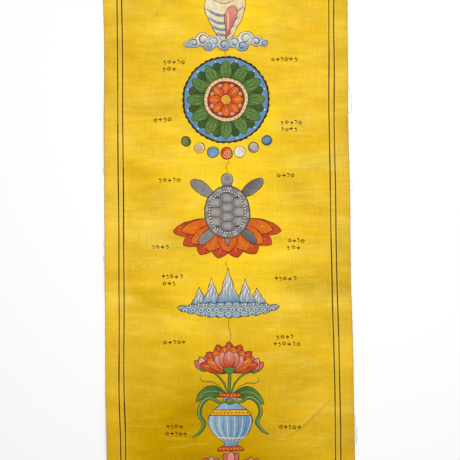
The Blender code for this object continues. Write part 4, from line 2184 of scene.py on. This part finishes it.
@dataclass(frozen=True)
class LooseThreads:
    """Loose yarns and short frays along the raw sides."""

    lie: ClothLie
    thickness: float = 0.00034
    leaves: float = 0.55  # the share of the cloth's thickness at which the yarns leave it
    lands: float = 1.6  # millimetres out from the side to where they lie on the floor
    frays: int = 150
    seed: int = 7
    # Each long thread's side, and its places in millimetres: how far out from the side and how far up
    threads: tuple[Thread, ...] = (
        (1, ((-1, 178), (0.5, 175), (2.1, 169), (3.5, 160), (4.3, 150), (4.2, 144),
             (2.9, 141.6), (1, 142), (-1, 142.6))),
        (1, ((-1, 57.2), (1, 57.4), (3.4, 56), (5, 53), (5.2, 50), (4, 47.4), (1.8, 46.6), (-1, 47.4))),
        (1, ((-1, -226), (0.8, -227), (1.7, -231), (0.9, -237), (1.8, -243), (1, -249),
             (2, -254), (1.2, -259))),
        (1, ((-1, -239), (1.4, -240), (2.9, -243.5), (2.2, -248.5), (3, -253), (1.9, -258), (2.4, -262))),
        (-1, ((-1, 79), (0.7, 77.5), (1.9, 73), (0.9, 69))),
        (-1, ((-1, -10), (1, -11.5), (1.6, -16), (0.8, -19))),
        (-1, ((-1, -38), (0.8, -37), (1.9, -33.5), (1.3, -30))),
        (1, ((-1, 346), (1, 344), (3, 336), (2, 328), (3.2, 321))),
        (-1, ((-1, 402), (1.2, 398), (2.8, 391), (2, 384))),
        (-1, ((-1, -352), (0.9, -356), (2.6, -364), (1.8, -372))),
    )

    def build(self) -> bpy.types.Object:
        """Builds all the threads as one piece.

        Returns:
            The piece.
        """
        curve = bpy.data.curves.new("loose_threads", "CURVE")
        curve.dimensions = "3D"
        curve.bevel_depth = self.thickness / 2
        curve.bevel_resolution = 0
        curve.use_fill_caps = True
        for side, path in (*self.threads, *self._frays()):
            laid = self._laid(side, path)
            spline = curve.splines.new("POLY")
            spline.points.add(len(laid) - 1)
            for point, place in zip(spline.points, laid):
                point.co = (*place, 1.0)
        threads = bpy.data.objects.new("loose_threads", curve)
        bpy.context.collection.objects.link(threads)
        bpy.ops.object.select_all(action="DESELECT")
        bpy.context.view_layer.objects.active = threads
        threads.select_set(True)
        bpy.ops.object.convert(target="MESH")
        threads.data.materials.append(BareYarn().build())
        return threads

    def _frays(self) -> list[Thread]:
        """Short ends of weft yarn, spread unevenly along both sides.

        Returns:
            Their sides and places, as for the long threads.
        """
        chance = np.random.default_rng(self.seed)
        found = []
        half = self.lie.length / 2 / MM - 4
        for _ in range(self.frays):
            side = int(chance.choice((-1, 1)))
            spans = ((-half, half), (0.35, 1.25), (-0.9, 0.9))
            along, reach, lean = (float(chance.uniform(*span)) for span in spans)
            found.append((side, ((-0.8, along), (reach * 0.5, along + lean * 0.3), (reach, along + lean))))
        return found

    def _laid(self, side: int, path: Sequence[Point]) -> list[Place]:
        """Lays a thread from a side of the cloth down to the floor.

        Args:
            side: -1 for the left side and 1 for the right.
            path: Its places, as for the long threads.

        Returns:
            Its points in metres.
        """
        out, along = smooth(path, step=0.7).T
        edge = side * self.lie.width / 2
        cut = np.stack([np.full(len(out), edge), along * MM], axis=1)
        high = self.lie.underside(cut) + self.lie.thickness * self.leaves
        drop = eased(out / self.lands)
        z = high * (1 - drop) + self.thickness / 2 * drop
        x = side * (self.lie.width / 2 + out * MM) + (self.lie.plan(cut)[:, 0] - edge)
        return np.stack([x, cut[:, 1], z], axis=1).tolist()


# The stage


@dataclass(frozen=True)
class Studio:
    """The floor, the lights and the camera."""

    view_width: float = 0.5615
    distance: float = 1.4
    tilt: float = 2.2
    roll: float = -0.675
    aim: Place = (0.0028, 0.0, 0.001)
    sensor: float = 36.0
    sky: float = 0.455
    floor_size: float = 8.0
    floor_drop: float = 0.0002
    # Each light's name, place, size and power
    lights: tuple[tuple[str, Place, float, float], ...] = (
        ("key", (0.10, 0.20, 1.20), 0.9, 8.8),
        ("fill", (0.9, 0.2, 1.9), 1.6, 2.6),
    )

    def build(self) -> None:
        """Sets everything up."""
        self._floor()
        self._light()
        self._camera()
        bpy.context.scene.view_settings.view_transform = "Standard"

    def _floor(self) -> None:
        """A wide pale floor just under the cloth."""
        bpy.ops.mesh.primitive_plane_add(size=self.floor_size, location=(0, 0, -self.floor_drop))
        floor = bpy.context.object
        floor.name = "floor"
        floor.data.materials.append(PaleFloor().build())

    def _light(self) -> None:
        """An even white sky, one wide soft light over the cloth and a fainter one on its right."""
        world = bpy.data.worlds.new("soft_room")
        world.use_nodes = True
        world.node_tree.nodes["Background"].inputs["Color"].default_value = (1, 1, 1, 1)
        world.node_tree.nodes["Background"].inputs["Strength"].default_value = self.sky
        bpy.context.scene.world = world
        for name, place, size, energy in self.lights:
            data = bpy.data.lights.new(name, "AREA")
            data.shape, data.size, data.energy = "SQUARE", size, energy
            light = bpy.data.objects.new(name, data)
            light.location = place
            light.rotation_euler = (-Vector(place)).to_track_quat("-Z", "Y").to_euler()
            bpy.context.collection.objects.link(light)

    def _camera(self) -> None:
        """Looks almost straight down, from slightly nearer the lower end."""
        data = bpy.data.cameras.new("camera")
        data.sensor_width = self.sensor
        data.lens = self.sensor * self.distance / self.view_width
        camera = bpy.data.objects.new("camera", data)
        tilt, aim = math.radians(self.tilt), Vector(self.aim)
        camera.location = aim + Vector((0, -math.sin(tilt), math.cos(tilt))) * self.distance
        look = (aim - camera.location).to_track_quat("-Z", "Y")
        camera.rotation_mode = "QUATERNION"
        camera.rotation_quaternion = look @ Quaternion((0, 0, 1), math.radians(self.roll))
        bpy.context.collection.objects.link(camera)
        bpy.context.scene.camera = camera


def main() -> None:
    """Builds the scroll and its stage."""
    logging.basicConfig(level=logging.INFO, format="%(name)s: %(message)s")
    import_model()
    strokes = brushwork()
    log.info("painting: %d strokes", len(strokes))
    cloth_maker = PaintedCloth()
    cloth = cloth_maker.build(strokes)
    log.info("%s: %d triangles", cloth.name, len(cloth.data.polygons))
    threads = LooseThreads(cloth_maker.lie).build()
    log.info("%s: %d faces", threads.name, len(threads.data.polygons))
    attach(cloth, "root")
    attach(threads, "root")
    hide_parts("painted_cloth")
    Studio().build()


if __name__ == "__main__":
    main()
